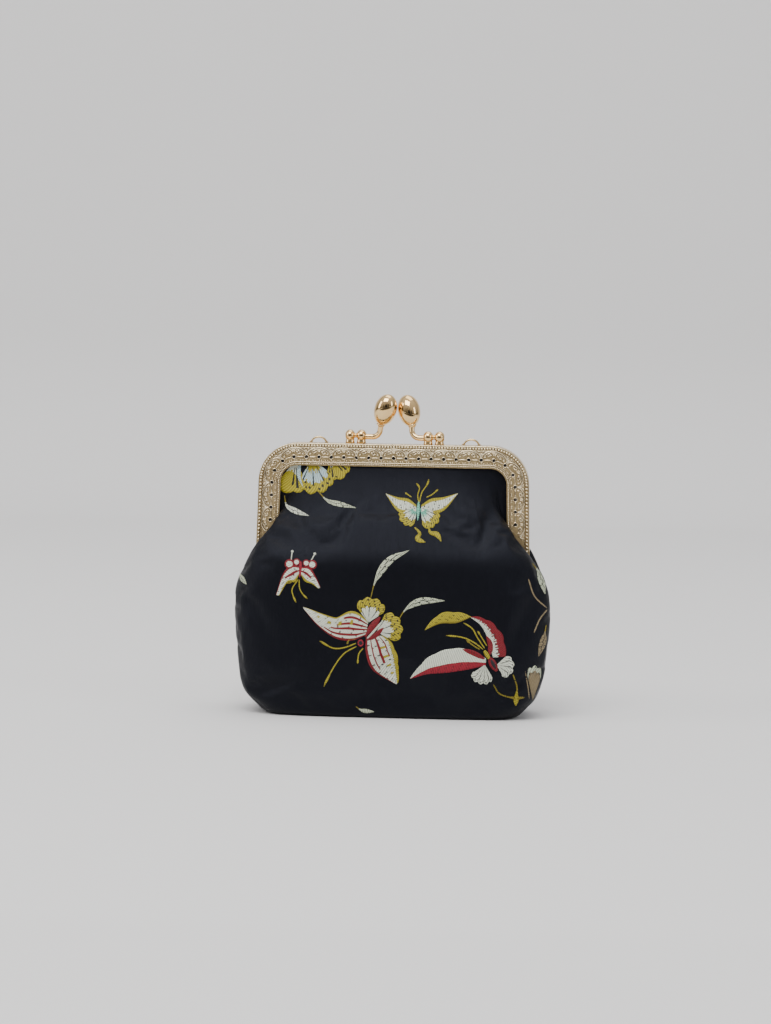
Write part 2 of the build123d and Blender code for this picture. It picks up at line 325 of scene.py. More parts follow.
# Two copies of one champagne plating. The ground's copy is rougher with a deeper stipple, and its darker
# colour is painted shade. The ridges' copy is more polished, and its lighter colour is a painted highlight.
GROUND_GOLD_STIPPLE_AND_PAINTED_SHADE = champagne_gold("champagne_ground_stipple_and_painted_shade", (0.54, 0.39, 0.19), (0.69, 0.53, 0.29), 0.26, 0.9)
RIDGE_GOLD_POLISH_AND_PAINTED_HIGHLIGHT = champagne_gold("champagne_ridges_polish_and_painted_highlight", (0.92, 0.76, 0.49), (0.99, 0.86, 0.60), 0.10, 0.15)
BRIGHT = polished_gold()
PLATED = hidden_gold()
SATIN = satin_brocade()
FLOSS = brocade_thread()
LINING = lining_cloth()
COTTON = sewing_cotton()


# ---- Mesh helpers (all points in millimetres until the mesh is made) ----


def new_piece(name, points, faces, material, smooth=True):
    mesh = bpy.data.meshes.new(name)
    mesh.from_pydata([(x * MM, y * MM, z * MM) for x, y, z in points], [], faces)
    mesh.materials.append(material)
    mesh.shade_smooth() if smooth else mesh.shade_flat()
    piece = bpy.data.objects.new(name, mesh)
    bpy.context.scene.collection.objects.link(piece)
    return piece


def outward(piece):
    """Merges doubles and turns every closed shell's faces outwards."""
    work = bmesh.new()
    work.from_mesh(piece.data)
    bmesh.ops.remove_doubles(work, verts=work.verts, dist=1e-7)
    bmesh.ops.recalc_face_normals(work, faces=work.faces)
    work.to_mesh(piece.data)
    work.free()
    return piece


def keep_result(piece, modifier):
    """Makes what a modifier gives the piece's own plain mesh, and takes the modifier away."""
    evaluated = piece.evaluated_get(bpy.context.evaluated_depsgraph_get())
    result = bpy.data.meshes.new_from_object(evaluated)
    piece.modifiers.remove(modifier)
    piece.data = result
    return piece


def join_shapes(shapes):
    """One list of points and one of faces from several (points, faces) shapes."""
    points = []
    faces = []
    for shape_points, shape_faces in shapes:
        start = len(points)
        points.extend(shape_points)
        faces.extend([tuple(start + corner for corner in face) for face in shape_faces])
    return points, faces


def through(points, steps):
    """Catmull-Rom curve through points along their first axis, steps samples to each span."""
    points = np.asarray(points, float)
    padded = np.concatenate([[2 * points[0] - points[1]], points, [2 * points[-1] - points[-2]]])
    samples = []
    for index in range(len(points) - 1):
        a, b, c, d = padded[index:index + 4]
        for t in np.arange(steps) / steps:
            samples.append(
                0.5 * (2 * b + (c - a) * t + (2 * a - 5 * b + 4 * c - d) * t ** 2
                       + (3 * b - a - 3 * c + d) * t ** 3)
            )
    samples.append(points[-1])
    return np.array(samples)


def tube(path, radii, sides=16, squash=1.0, up=Vector((0, 0, 1)), closed=False):
    """Closed tube along path; radii holds one radius for each point, squash thins it along up."""
    path = [Vector(point) for point in path]
    points = []
    count = len(path)
    side = None
    for index, spot in enumerate(path):
        if closed:
            run = path[(index + 1) % count] - path[index - 1]
        else:
            run = path[min(index + 1, count - 1)] - path[max(index - 1, 0)]
        run.normalize()
        guide = up if side is None else side.cross(run)
        side = run.cross(guide)
        if side.length < 1e-6:
            side = run.orthogonal()
        side.normalize()
        lift = side.cross(run).normalized()
        for step in range(sides):
            turn = 2 * math.pi * step / sides
            offset = side * math.cos(turn) + lift * math.sin(turn) * squash
            points.append(spot + offset * radii[index])
    return points, ring_faces(count, sides, closed)


def ring_faces(count, sides, closed=False):
    """Faces between count rings of points, with a face on each end unless the rings close."""
    faces = []
    for ring in range(count if closed else count - 1):
        here = ring * sides
        there = ((ring + 1) % count) * sides
        for step in range(sides):
            after = (step + 1) % sides
            faces.append((here + step, here + after, there + after, there + step))
    if not closed:
        faces.append(tuple(range(sides - 1, -1, -1)))
        last = (count - 1) * sides
        faces.append(tuple(last + step for step in range(sides)))
    return faces


def lathe(origin, axis, outline, sides=48):
    """Turned solid: outline is a list of (distance along axis, radius), closed at both ends."""
    axis = Vector(axis).normalized()
    side = axis.orthogonal().normalized()
    other = axis.cross(side)
    points = []
    for along, radius in outline:
        for step in range(sides):
            turn = 2 * math.pi * step / sides
            points.append(
                Vector(origin) + axis * along + (side * math.cos(turn) + other * math.sin(turn)) * radius
            )
    return points, ring_faces(len(outline), sides)


# ---- Geometry Nodes for what repeats ----


def repeat_tree():
    """Bead rows and rings: one small shape on every point of the given mesh line."""
    tree = bpy.data.node_groups.new("repeat_along_line", "GeometryNodeTree")
    face = tree.interface
    face.new_socket("Geometry", in_out="INPUT", socket_type="NodeSocketGeometry")
    starts = {"Pitch": 0.001, "Bead Radius": 0.0005, "Bead Length": 1.0, "Bead Width": 1.0, "Slant": 0.0}
    for name, start in starts.items():
        face.new_socket(name, in_out="INPUT", socket_type="NodeSocketFloat").default_value = start
    face.new_socket("Finish", in_out="INPUT", socket_type="NodeSocketMaterial")
    face.new_socket("Geometry", in_out="OUTPUT", socket_type="NodeSocketGeometry")
    nodes = tree.nodes
    link = tree.links.new
    given = nodes.new("NodeGroupInput")
    made = nodes.new("NodeGroupOutput")
    to_curve = nodes.new("GeometryNodeMeshToCurve")
    spaced = nodes.new("GeometryNodeResampleCurve")
    spaced.mode = "LENGTH"
    bead = nodes.new("GeometryNodeMeshUVSphere")
    bead.inputs["Segments"].default_value = 8
    bead.inputs["Rings"].default_value = 6
    tangent = nodes.new("GeometryNodeInputTangent")
    turned = nodes.new("FunctionNodeAlignEulerToVector")
    turned.axis = "X"
    slanted = nodes.new("FunctionNodeRotateEuler")
    slanted.space = "OBJECT"
    slant = nodes.new("ShaderNodeCombineXYZ")
    scale = nodes.new("ShaderNodeCombineXYZ")
    placed = nodes.new("GeometryNodeInstanceOnPoints")
    real = nodes.new("GeometryNodeRealizeInstances")
    smooth = nodes.new("GeometryNodeSetShadeSmooth")
    finish = nodes.new("GeometryNodeSetMaterial")
    link(given.outputs["Geometry"], to_curve.inputs["Mesh"])
    link(to_curve.outputs["Curve"], spaced.inputs["Curve"])
    link(given.outputs["Pitch"], spaced.inputs["Length"])
    link(given.outputs["Bead Radius"], bead.inputs["Radius"])
    link(tangent.outputs["Tangent"], turned.inputs["Vector"])
    link(turned.outputs["Rotation"], slanted.inputs["Rotation"])
    link(given.outputs["Slant"], slant.inputs["Y"])
    link(slant.outputs["Vector"], slanted.inputs["Rotate By"])
    link(given.outputs["Bead Length"], scale.inputs["X"])
    link(given.outputs["Bead Width"], scale.inputs["Y"])
    scale.inputs["Z"].default_value = 1.0
    link(spaced.outputs["Curve"], placed.inputs["Points"])
    link(bead.outputs["Mesh"], placed.inputs["Instance"])
    link(slanted.outputs["Rotation"], placed.inputs["Rotation"])
    link(scale.outputs["Vector"], placed.inputs["Scale"])
    link(placed.outputs["Instances"], real.inputs["Geometry"])
    link(real.outputs["Geometry"], smooth.inputs["Geometry"])
    link(smooth.outputs["Geometry"], finish.inputs["Geometry"])
    link(given.outputs["Finish"], finish.inputs["Material"])
    link(finish.outputs["Geometry"], made.inputs["Geometry"])
    return tree


REPEAT = repeat_tree()


def repeat_along(name, line, **inputs):
    """Plain mesh of beads set along a line of points."""
    mesh = bpy.data.meshes.new(name + "_line")
    mesh.from_pydata(
        [Vector(point) * MM for point in line], [(i, i + 1) for i in range(len(line) - 1)], []
    )
    carrier = bpy.data.objects.new(name, mesh)
    bpy.context.scene.collection.objects.link(carrier)
    modifier = carrier.modifiers.new("repeat", "NODES")
    modifier.node_group = REPEAT
    for item in REPEAT.interface.items_tree:
        if item.in_out == "INPUT" and item.name in inputs:
            modifier[item.identifier] = inputs[item.name]
    bpy.context.view_layer.update()
    keep_result(carrier, modifier)
    bpy.data.meshes.remove(mesh)
    return carrier


# ---- Pressed band of each frame half ----

LEAN_STEP = math.hypot(1.0, LEG_LEAN)
CORNER_Z = FRAME_TOP - CORNER_RADIUS
CORNER_X = FOOT_HALF_WIDTH - LEG_LEAN * (CORNER_Z - LEG_FOOT) - CORNER_RADIUS * LEAN_STEP
LEG_ANGLE = math.atan2(LEG_LEAN, 1.0)
SEW_TURN = CORNER_RADIUS - SEW_INSET
CORNER_RUN = SEW_TURN * (math.pi / 2 - LEG_ANGLE)
LEG_RUN = (CORNER_Z + SEW_TURN * math.sin(LEG_ANGLE) - LEG_FOOT) * LEAN_STEP
BAND_RUN = CORNER_X + CORNER_RUN + LEG_RUN


def band_point(run, inset, lift=0.0):
    """Point of the front band: run along the sewing line from the middle, inset from the edge."""
    hand = -1 if run < 0 else 1
    run = abs(run)
    radius = CORNER_RADIUS - inset
    if run <= CORNER_X:
        x, z = run, FRAME_TOP - inset
    elif run <= CORNER_X + CORNER_RUN:
        turn = math.pi / 2 - (run - CORNER_X) / SEW_TURN
        x = CORNER_X + radius * math.cos(turn)
        z = CORNER_Z + radius * math.sin(turn)
    else:
        down = run - CORNER_X - CORNER_RUN
        x = CORNER_X + radius * math.cos(LEG_ANGLE) + down * math.sin(LEG_ANGLE)
        z = CORNER_Z + radius * math.sin(LEG_ANGLE) - down * math.cos(LEG_ANGLE)
    return Vector((hand * x, -BAND_FRONT - lift, z))


def band_line(inset, lift=0.0, end_gap=0.6, step=0.8):
    """Points all along the band at one inset."""
    reach = BAND_RUN - end_gap
    count = int(2 * reach / step)
    return [band_point(-reach + 2 * reach * i / count, inset, lift) for i in range(count + 1)]


def raised_line(runs_insets, radius, height=0.85, sides=6):
    """Rounded ridge on the band through (run, inset) points."""
    path = [band_point(run, inset, 0.02) for run, inset in runs_insets]
    radii = [radius] * len(path)
    radii[0] = radii[-1] = radius * 0.5
    return tube(path, radii, sides, squash=height, up=Vector((0, -1, 0)))


def spiral(run, inset, radius, turns, hand, tilt):
    """Scroll that winds in towards its centre."""
    count = int(12 * turns)
    spots = []
    for index in range(count + 1):
        share = index / count
        turn = tilt + hand * 2 * math.pi * turns * share
        reach = radius * (1 - 0.80 * share)
        spots.append((run + reach * math.cos(turn), inset + reach * math.sin(turn)))
    return spots


def petal_relief(run, inset, turn, length, width):
    """Small pointed leaf pressed into the band."""
    outline = []
    for index in range(5):
        share = index / 4
        outline.append((run + math.cos(turn) * length * share, inset + math.sin(turn) * length * share))
    path = [band_point(a, b, 0.02) for a, b in outline]
    radii = [0.06, width * 0.9, width * 1.1, width * 0.8, 0.06]
    return tube(path, radii, 6, squash=0.95, up=Vector((0, -1, 0)))


def arch_motif(middle):
    """One scalloped arch with scrolls, a flower and leaves, centred on a run along the band."""
    half = SEW_PITCH * 0.97
    shapes = []
    for shrink, radius in ((1.0, 0.29), (0.80, 0.17)):
        arc = []
        for step in range(17):
            turn = math.pi * step / 16
            arc.append((middle + half * shrink * math.cos(turn), 4.45 - 2.70 * shrink * math.sin(turn)))
        shapes.append(raised_line(arc, radius))
    for hand in (-1, 1):
        shapes.append(raised_line(spiral(middle + hand * 1.85, 3.45, 0.85, 1.1, hand, 0.4), 0.22))
        shapes.append(petal_relief(middle + hand * 0.75, 3.2, math.pi / 2 - hand * 1.1, 1.05, 0.28))
        shapes.append(petal_relief(middle + hand * 3.1, 3.9, math.pi / 2 - hand * 0.7, 0.9, 0.26))
    for petal in range(5):
        turn = -math.pi / 2 + petal * 2 * math.pi / 5
        shapes.append(petal_relief(middle, 2.95, turn, 0.80, 0.29))
    between = middle + SEW_PITCH
    shapes.append(raised_line(spiral(between - 0.85, 2.35, 0.62, 1.0, -1, 2.6), 0.21))
    shapes.append(raised_line(spiral(between + 0.85, 2.35, 0.62, 1.0, 1, 0.5), 0.21))
    for hand in (-1, 0, 1):
        shapes.append(petal_relief(between, 3.7, -math.pi / 2 + hand * 0.75, 1.2, 0.27))
    return shapes


def small_leaves():
    """Short slanting leaves between the sewing line and the inner beads."""
    shapes = []
    pitch = SEW_PITCH / 4
    count = int((BAND_RUN - 1.2) / pitch)
    for step in range(-count, count + 1):
        lean = 0.55 if step % 2 else -0.55
        shapes.append(petal_relief(step * pitch, 6.35, math.pi / 2 + lean, 0.80, 0.20))
    return shapes


def sewing_runs():
    return [step * SEW_PITCH for step in range(-SEW_HOLES_EACH_SIDE, SEW_HOLES_EACH_SIDE + 1)]


def hole_rim(run):
    """Rounded rim raised round one sewing hole."""
    reach = SEW_HOLE_RADIUS + 0.17
    path = []
    for step in range(14):
        turn = 2 * math.pi * step / 14
        path.append(band_point(run, SEW_INSET) + Vector((math.cos(turn), 0, math.sin(turn))) * reach)
    return tube(path, [0.19] * len(path), 6, up=Vector((0, -1, 0)), closed=True)


def band_relief():
    shapes = []
    pitch = 2 * SEW_PITCH
    for step in range(-7, 8):
        middle = step * pitch
        if abs(middle) + SEW_PITCH * 1.3 < BAND_RUN:
            shapes.extend(arch_motif(middle))
    shapes.extend(small_leaves())
    runs = sewing_runs()
    shapes.extend(hole_rim(run) for run in runs)
    for left, right in zip(runs, runs[1:]):
        link = [(left + 0.95 + (right - left - 1.9) * i / 5, SEW_INSET) for i in range(6)]
        shapes.append(raised_line(link, 0.22))
    for inset, radius in ((1.80, 0.14), (7.25, 0.16), (0.22, 0.20)):
        line = band_line(inset, 0.0 if inset > 1 else -0.18)
        shapes.append(tube(line, [radius] * len(line), 6, up=Vector((0, -1, 0))))
    return shapes


def turned_to_back(piece):
    """Turns a front piece half a turn about the upright axis."""
    for vertex in piece.data.vertices:
        vertex.co.x = -vertex.co.x
        vertex.co.y = -vertex.co.y
    return piece


def leg_line(hand, inset, lift):
    """Points down one leg's straight part, from the corner to the band's end."""
    start = CORNER_X + CORNER_RUN
    return [band_point(hand * (start + (LEG_RUN - 0.6) * i / 30), inset, lift) for i in range(31)]


def build_band(half):
    relief = outward(new_piece(f"{half}_band_relief", *join_shapes(band_relief()), RIDGE_GOLD_POLISH_AND_PAINTED_HIGHLIGHT))
    round_beads = {"Pitch": 1.08 * MM, "Bead Radius": 0.46 * MM, "Finish": RIDGE_GOLD_POLISH_AND_PAINTED_HIGHLIGHT}
    rope = {
        "Pitch": 1.28 * MM, "Bead Radius": 0.50 * MM, "Bead Width": 1.6, "Slant": 0.42, "Finish": RIDGE_GOLD_POLISH_AND_PAINTED_HIGHLIGHT}
    fine_beads = {"Pitch": 0.68 * MM, "Bead Radius": 0.30 * MM, "Finish": RIDGE_GOLD_POLISH_AND_PAINTED_HIGHLIGHT}
    corners = CORNER_X + CORNER_RUN
    top = [band_point(run, TOP_BEAD_INSET, BEAD_LIFT) for run in np.linspace(-1, 1, 141) * corners]
    pieces = [
        relief,
        repeat_along(f"{half}_top_beads", top, **round_beads),
        repeat_along(f"{half}_left_rope", leg_line(-1, ROPE_INSET, BEAD_LIFT), **rope),
        repeat_along(f"{half}_right_rope", leg_line(1, ROPE_INSET, BEAD_LIFT), **rope),
        repeat_along(f"{half}_inner_beads", band_line(INNER_BEAD_INSET, 0.06), **fine_beads),
    ]
    for piece in pieces:
        if half == "back":
            turned_to_back(piece)
        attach(piece, f"{half}_half")


def build_sewing_thread(half):
    """Two black strands that dip through every sewing hole."""
    shapes = []
    for run in sewing_runs():
        middle = band_point(run, SEW_INSET, -STRAND_DEPTH)
        for hand in (-1, 1):
            path = []
            for step in range(7):
                share = step / 6 - 0.5
                dip = 0.5 * abs(share) ** 1.5
                path.append(middle + Vector((share, dip, hand * 0.24 + share * 0.12)))
            shapes.append(tube(path, [STRAND_RADIUS] * len(path), 8, up=Vector((0, -1, 0))))
    piece = outward(new_piece(f"{half}_stitches", *join_shapes(shapes), COTTON))
    if half == "back":
        turned_to_back(piece)
    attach(piece, f"{half}_half")
    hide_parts(f"{half}_sewing_thread")


# ---- Clasp, in millimetres ----

BALL_RADIUS = 4.3
BALL_BELOW = 6.5           # from the ball's widest ring down to its collar
BALL_ABOVE = 6.0
STEM_RADIUS = 1.08
STEM_DROP = 0.4            # the stem leaves the beads this far below their axis
STEM_TUCK = 1.0
STEM_INTO_COLLAR = 0.4
STEM_BEND = 3.2
KNEE_X = 6.4
KNEE_SHIFT = 0.3
KNEE_SHARE = 0.55          # how much of the beads' offset in depth is left at the knee
FOOT_REACH = 1.8
BEAD_SPACING = 2.2         # from the middle of a bead pair to each bead
BEAD_HALF_LENGTH = 2.02
BEAD_RADIUS = 2.3

# (height, radius) of the turned foot and of the collar
FOOT_OUTLINE = ((0.0, 1.75), (0.3, 1.82), (0.6, 1.78), (0.9, 1.7), (1.3, 1.65), (1.6, 1.6), (1.62, 0.1))
COLLAR_OUTLINE = ((-0.95, 1.12), (-0.75, 1.2), (-0.55, 1.5), (-0.25, 1.66), (0.05, 1.6), (0.2, 1.5),
                  (0.4, 1.6), (0.9, 2.05), (1.4, 2.5), (1.6, 0.5))


def centre_of(node):
    low, high = node_box(node)
    return (low + high) / 2


def egg_outline(radius, below, above, steps=40):
    outline = []
    for step in range(1, steps):
        turn = math.pi * step / steps
        height = below if turn < math.pi / 2 else above
        outline.append((-height * math.cos(turn), radius * math.sin(turn)))
    return [(-below, 0.02)] + outline + [(above, 0.02)]


def build_clasp(half, hand):
    """Ball, collar, stem, turned beads and feet of one half's clasp."""
    ball = centre_of(f"{half}_clasp_ball")
    collar = centre_of(f"{half}_clasp_collar")
    axis = (ball - collar).normalized()
    beads_low, beads_high = node_box(f"{half}_clasp_beads")
    base = (beads_low + beads_high) / 2
    inner_x = min(abs(beads_low.x), abs(beads_high.x))
    stem_z = base.z - STEM_DROP
    start = Vector((hand * (inner_x + STEM_TUCK), base.y, stem_z))
    knee = Vector((hand * KNEE_X + KNEE_SHIFT, base.y * KNEE_SHARE, stem_z))
    path = rounded_corner(start, knee, collar + axis * STEM_INTO_COLLAR, STEM_BEND)
    feet_low, feet_high = node_box(f"{half}_clasp_feet")
    feet = []
    for x in (feet_low.x + FOOT_REACH, feet_high.x - FOOT_REACH):
        feet.append(lathe(Vector((x, base.y, feet_low.z)), Vector((0, 0, 1)), FOOT_OUTLINE, 32))
    made = {
        "ball": lathe(ball, axis, egg_outline(BALL_RADIUS, BALL_BELOW, BALL_ABOVE), 64),
        "collar": lathe(collar, axis, COLLAR_OUTLINE, 40),
        "stem": tube(path, [STEM_RADIUS] * len(path), 28),
        "beads": lathe(Vector((0, base.y, base.z)), Vector((1, 0, 0)), bead_pair_outline(base.x), 48),
        "feet": join_shapes(feet),
    }
    for part, shape in made.items():
        piece = outward(new_piece(f"{half}_{part}", *shape, BRIGHT))
        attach(piece, f"{half}_half")
        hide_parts(f"{half}_clasp_{part}")


def rounded_corner(start, knee, end, radius, steps=14):
    """Points along a route of two straight runs joined by an arc."""
    back = (start - knee).normalized()
    on = (end - knee).normalized()
    half_angle = back.angle(on) / 2
    reach = radius / math.tan(half_angle)
    centre = knee + (back + on).normalized() * radius / math.sin(half_angle)
    first = knee + back * reach
    last = knee + on * reach
    path = [start.lerp(first, i / 6) for i in range(6)]
    for step in range(steps + 1):
        spoke = (first - centre).slerp(last - centre, step / steps)
        path.append(centre + spoke.normalized() * radius)
    path += [last.lerp(end, (i + 1) / 4) for i in range(4)]
    return path


def bead_pair_outline(middle):
    """Distance along X and radius of the two beads and their neck."""
    outline = []
    for centre in (-BEAD_SPACING, BEAD_SPACING):
        for step in range(17):
            turn = math.radians(24 + 132 * step / 16)
            outline.append(
                (middle + centre - BEAD_HALF_LENGTH * math.cos(turn), BEAD_RADIUS * math.sin(turn)))
    return [(outline[0][0] + 0.02, 0.05)] + outline + [(outline[-1][0] - 0.02, 0.05)]


# ---- Pouch ----

# Each row is one level of the front cloth, from the bottom seam up to the edge behind the
# top bar: points from the side seam round to the middle, in millimetres.
CLOTH_ROWS = (
    ((46.0, 0, 0), (45.5, -0.2, 0), (44, -0.3, 0), (40, -0.4, 0), (28, -0.4, 0),
     (14, -0.4, 0), (0, -0.4, 0)),
    ((47.0, 0, 0.2), (46.6, -4, 0), (44.8, -8, 0), (40, -9.6, 0), (28, -10, 0), (14, -10, 0), (0, -10, 0)),
    ((49.2, 0, 1.2), (48.9, -6, 0.5), (46.6, -11.5, 0.4), (41.2, -15, 0.3), (28, -16.6, 0.2),
     (14, -17.0, 0.2), (0, -17.1, 0.2)),
    ((51.8, 0, 3.6), (51.8, -7, 3.2), (49.8, -13, 3.0), (43.8, -17.4, 3.0), (29, -19.0, 3.0),
     (14, -19.2, 3.0), (0, -19.3, 3.0)),
    ((55.2, 0, 9), (56.3, -7, 9), (54.8, -13.4, 9), (47.6, -18.4, 9), (31, -20.2, 9), (15, -20.3, 9),
     (0, -20.3, 9)),
    ((57.0, 0, 18.5), (58.8, -7, 18.5), (57.2, -13.6, 18.5), (49.8, -18.8, 18.5), (32, -20.8, 18.5),
     (15.5, -20.8, 18.5), (0, -20.8, 18.5)),
    ((57.4, 0, 35), (60.2, -6.5, 35), (59.0, -13.2, 35), (51.2, -18.6, 35), (33, -20.8, 35),
     (16, -20.9, 35), (0, -20.9, 35)),
    ((55.6, 0, 46.5), (59.8, -6.2, 47.5), (58.6, -12, 48), (50.6, -17.6, 48), (33, -20.0, 48),
     (16, -20.4, 48), (0, -20.5, 48)),
    ((51.6, -0.2, 53.0), (56.2, -5.6, 54.5), (56.6, -10.4, 56), (49.6, -16.4, 56.5), (32.6, -19.2, 56.5),
     (16, -20.2, 56.5), (0, -20.4, 56.5)),
    ((48.6, -2.4, 58.0), (49.4, -5.4, 59.0), (54.6, -9.2, 60.5), (48.6, -14.9, 62), (32.2, -18.0, 62),
     (16, -19.1, 62), (0, -19.3, 62)),
    ((47.4, -2.9, 64), (43.6, -4.5, 64), (51.6, -8.6, 65), (46.6, -12.9, 67), (31.6, -15.7, 67),
     (16, -16.9, 67), (0, -17.2, 67)),
    ((47.2, -2.9, 69), (43.0, -4.4, 69), (47.4, -7.6, 70), (44.0, -10.9, 71.5), (30.6, -13.4, 72),
     (15.5, -14.5, 72), (0, -14.8, 72)),
    ((46.6, -2.9, 75), (42.3, -4.2, 75), (43.2, -6.2, 75.5), (40.6, -8.4, 76.5), (29.6, -10.5, 77.5),
     (15, -11.5, 77.5), (0, -11.8, 77.5)),
    ((46.0, -2.9, 81), (41.6, -3.9, 81), (40.0, -5.2, 81.5), (37.4, -6.2, 82.5), (28.4, -7.6, 83.5),
     (14.5, -8.4, 83.5), (0, -8.6, 83.5)),
    ((45.4, -2.9, 88), (40.8, -3.5, 88), (38.4, -4.0, 88.5), (35.4, -4.5, 89), (27.2, -5.3, 89.5),
     (14, -5.8, 89.5), (0, -5.9, 89.5)),
    ((44.6, -2.9, 94), (40.0, -3.1, 94), (37.6, -3.3, 94.2), (34.6, -3.7, 94.3), (26.4, -3.9, 94.5),
     (13.5, -4.1, 94.5), (0, -4.2, 94.5)),
    ((43.5, -2.9, 98), (39.6, -3.0, 98), (37.2, -3.1, 98), (34.2, -3.2, 98), (26, -3.3, 98),
     (13.5, -3.4, 98), (0, -3.4, 98)),
    ((42.5, -2.9, 101), (39.2, -2.9, 101.5), (36.8, -3.0, 101.5), (34.0, -3.0, 101.5), (26, -3.1, 101.5),
     (13.5, -3.1, 101.5), (0, -3.1, 101.5)),
)

LOW_SHIFT = 0.6            # the pouch hangs this far to the right of its frame, in millimetres
RIGHT_PULL = 1.6           # cloth drawn in over the right leg
LEFT_REACH = 1.6           # cloth spread farther over the left leg
CLOTH_CAP = 1.3            # farthest that the simulation may carry a point, in millimetres
SETTLING_FRAMES = 25
OUTER_THICKNESS = 1.5      # brocade with its wadding
LINING_THICKNESS = 0.3
LINING_DEPTH = 2.0         # from the outside of the brocade to the lining
LINING_FLOOR = 2.1

# Soft folds of the front cloth: from and to (x, z), half width and depth.
FOLDS = (
    ((-39, 79), (-26, 62), 3.4, -0.5),
    ((-47, 64), (-30, 54), 4.0, 0.5),
    ((39, 84), (34, 64), 3.2, -0.7),
    ((42, 76), (50, 56), 3.4, 0.5),
    ((30, 88), (27, 72), 4.4, 0.4),
    ((-28, 90), (-20, 76), 4.2, 0.35),
    ((-52, 44), (-44, 30), 3.6, -0.7),
    ((54, 46), (46, 28), 3.6, -0.8),
    ((-50, 8), (-34, 16), 3.4, -0.9),
    ((50, 7), (36, 15), 3.4, -0.9),
    ((-12, 7), (16, 9), 3.0, -0.5),
    ((6, 60), (14, 40), 5.0, -0.5),
    ((-20, 52), (-6, 30), 5.0, 0.5),
)


def evenly(grid, count, axis):
    """Resamples a grid of points to equal steps of mean arc length along one axis."""
    grid = np.moveaxis(grid, axis, 0)
    steps = np.linalg.norm(np.diff(grid, axis=0), axis=-1).mean(axis=1)
    length = np.concatenate([[0], np.cumsum(steps)])
    wanted = np.linspace(0, length[-1], count)
    index = np.clip(np.searchsorted(length, wanted, side="right") - 1, 0, len(steps) - 1)
    share = ((wanted - length[index]) / steps[index])[:, None, None]
    result = grid[index] * (1 - share) + grid[index + 1] * share
    return np.moveaxis(result, 0, axis)


def cloth_grid(columns=150, rows=130):
    """Smooth grid of points of the front cloth: rows go up, columns from left to right."""
    right = np.array(CLOTH_ROWS, float)
    left = right * np.array([-1.0, 1.0, 1.0])
    whole = np.concatenate([left, right[:, -2::-1]], axis=1)
    across = np.array([through(row, 16) for row in whole])
    surface = through(across, 16)
    x, z = surface[..., 0], surface[..., 2]
    low = np.clip((60 - z) / 20, 0, 1) * LOW_SHIFT
    right = RIGHT_PULL * np.exp(-((z - 67) / 5) ** 2) * np.clip((x - 40) / 8, 0, 1)
    left = LEFT_REACH * np.exp(-((z - 77) / 5) ** 2) * np.clip((-x - 36) / 8, 0, 1)
    surface[..., 0] = x + (low - right - left) * (surface[..., 1] < -4.8)
    return evenly(evenly(surface, columns, 1), rows, 0)


def grid_normals(grid):
    along = np.gradient(grid, axis=0)
    across = np.gradient(grid, axis=1)
    normal = np.cross(across, along)
    length = np.linalg.norm(normal, axis=-1, keepdims=True)
    return normal / np.maximum(length, 1e-9)


def fold_depth(x, z):
    """How far the folds raise the cloth at each point."""
    depth = np.zeros_like(x)
    for (x0, z0), (x1, z1), width, height in FOLDS:
        run = np.array([x1 - x0, z1 - z0])
        share = ((x - x0) * run[0] + (z - z0) * run[1]) / (run @ run)
        nearest = np.clip(share, 0, 1)
        off = np.hypot(x - x0 - nearest * run[0], z - z0 - nearest * run[1])
        fade = np.exp(-((share - 0.5) / 0.55) ** 4)
        depth += height * np.exp(-(off / width) ** 2) * fade
    return depth


def settle(grid):
    """Adds the folds and keeps the cloth on the floor and behind the band."""
    normal = grid_normals(grid)
    x, z = grid[..., 0], grid[..., 2]
    free = np.clip((-grid[..., 1] - 5.0) / 5.0, 0, 1)
    raised = grid + normal * (fold_depth(x, z) * free)[..., None]
    raised[..., 2] = np.maximum(raised[..., 2], 0.0)
    return raised


def simulated(grid):
    """Puffs the cloth up under light pressure, held at its edges, and keeps the small wrinkles."""
    coarse = grid[::2, ::2]
    sheet = grid_piece("cloth_trial", coarse, SATIN)
    held = sheet.vertex_groups.new(name="held")
    freedom = cloth_freedom(coarse).ravel()
    for index, free in enumerate(freedom):
        held.add([index], float(1 - min(1.0, free * 4)), "REPLACE")
    cloth = sheet.modifiers.new("cloth", "CLOTH")
    settings = cloth.settings
    settings.quality = 6
    settings.mass = 0.12
    settings.tension_stiffness = 12
    settings.compression_stiffness = 12
    settings.shear_stiffness = 6
    settings.bending_stiffness = 0.6
    settings.air_damping = 4
    settings.shrink_min = -0.025
    settings.vertex_group_mass = "held"
    settings.pin_stiffness = 2
    settings.use_pressure = True
    settings.uniform_pressure_force = 0.8
    settings.effector_weights.gravity = 0
    cloth.collision_settings.use_collision = False
    scene = bpy.context.scene
    for step in range(1, SETTLING_FRAMES + 1):
        scene.frame_set(step)
    evaluated = sheet.evaluated_get(bpy.context.evaluated_depsgraph_get())
    moved = np.array([tuple(vertex.co) for vertex in evaluated.data.vertices]) / MM
    scene.frame_set(1)
    bpy.data.objects.remove(sheet)
    shift = moved.reshape(coarse.shape) - coarse
    size = np.linalg.norm(shift, axis=-1, keepdims=True)
    shift = shift * np.minimum(1, CLOTH_CAP / np.maximum(size, 1e-6))
    shift = shift * freedom.reshape(coarse.shape[:2])[..., None]
    return grid + upsampled(shift, grid.shape)


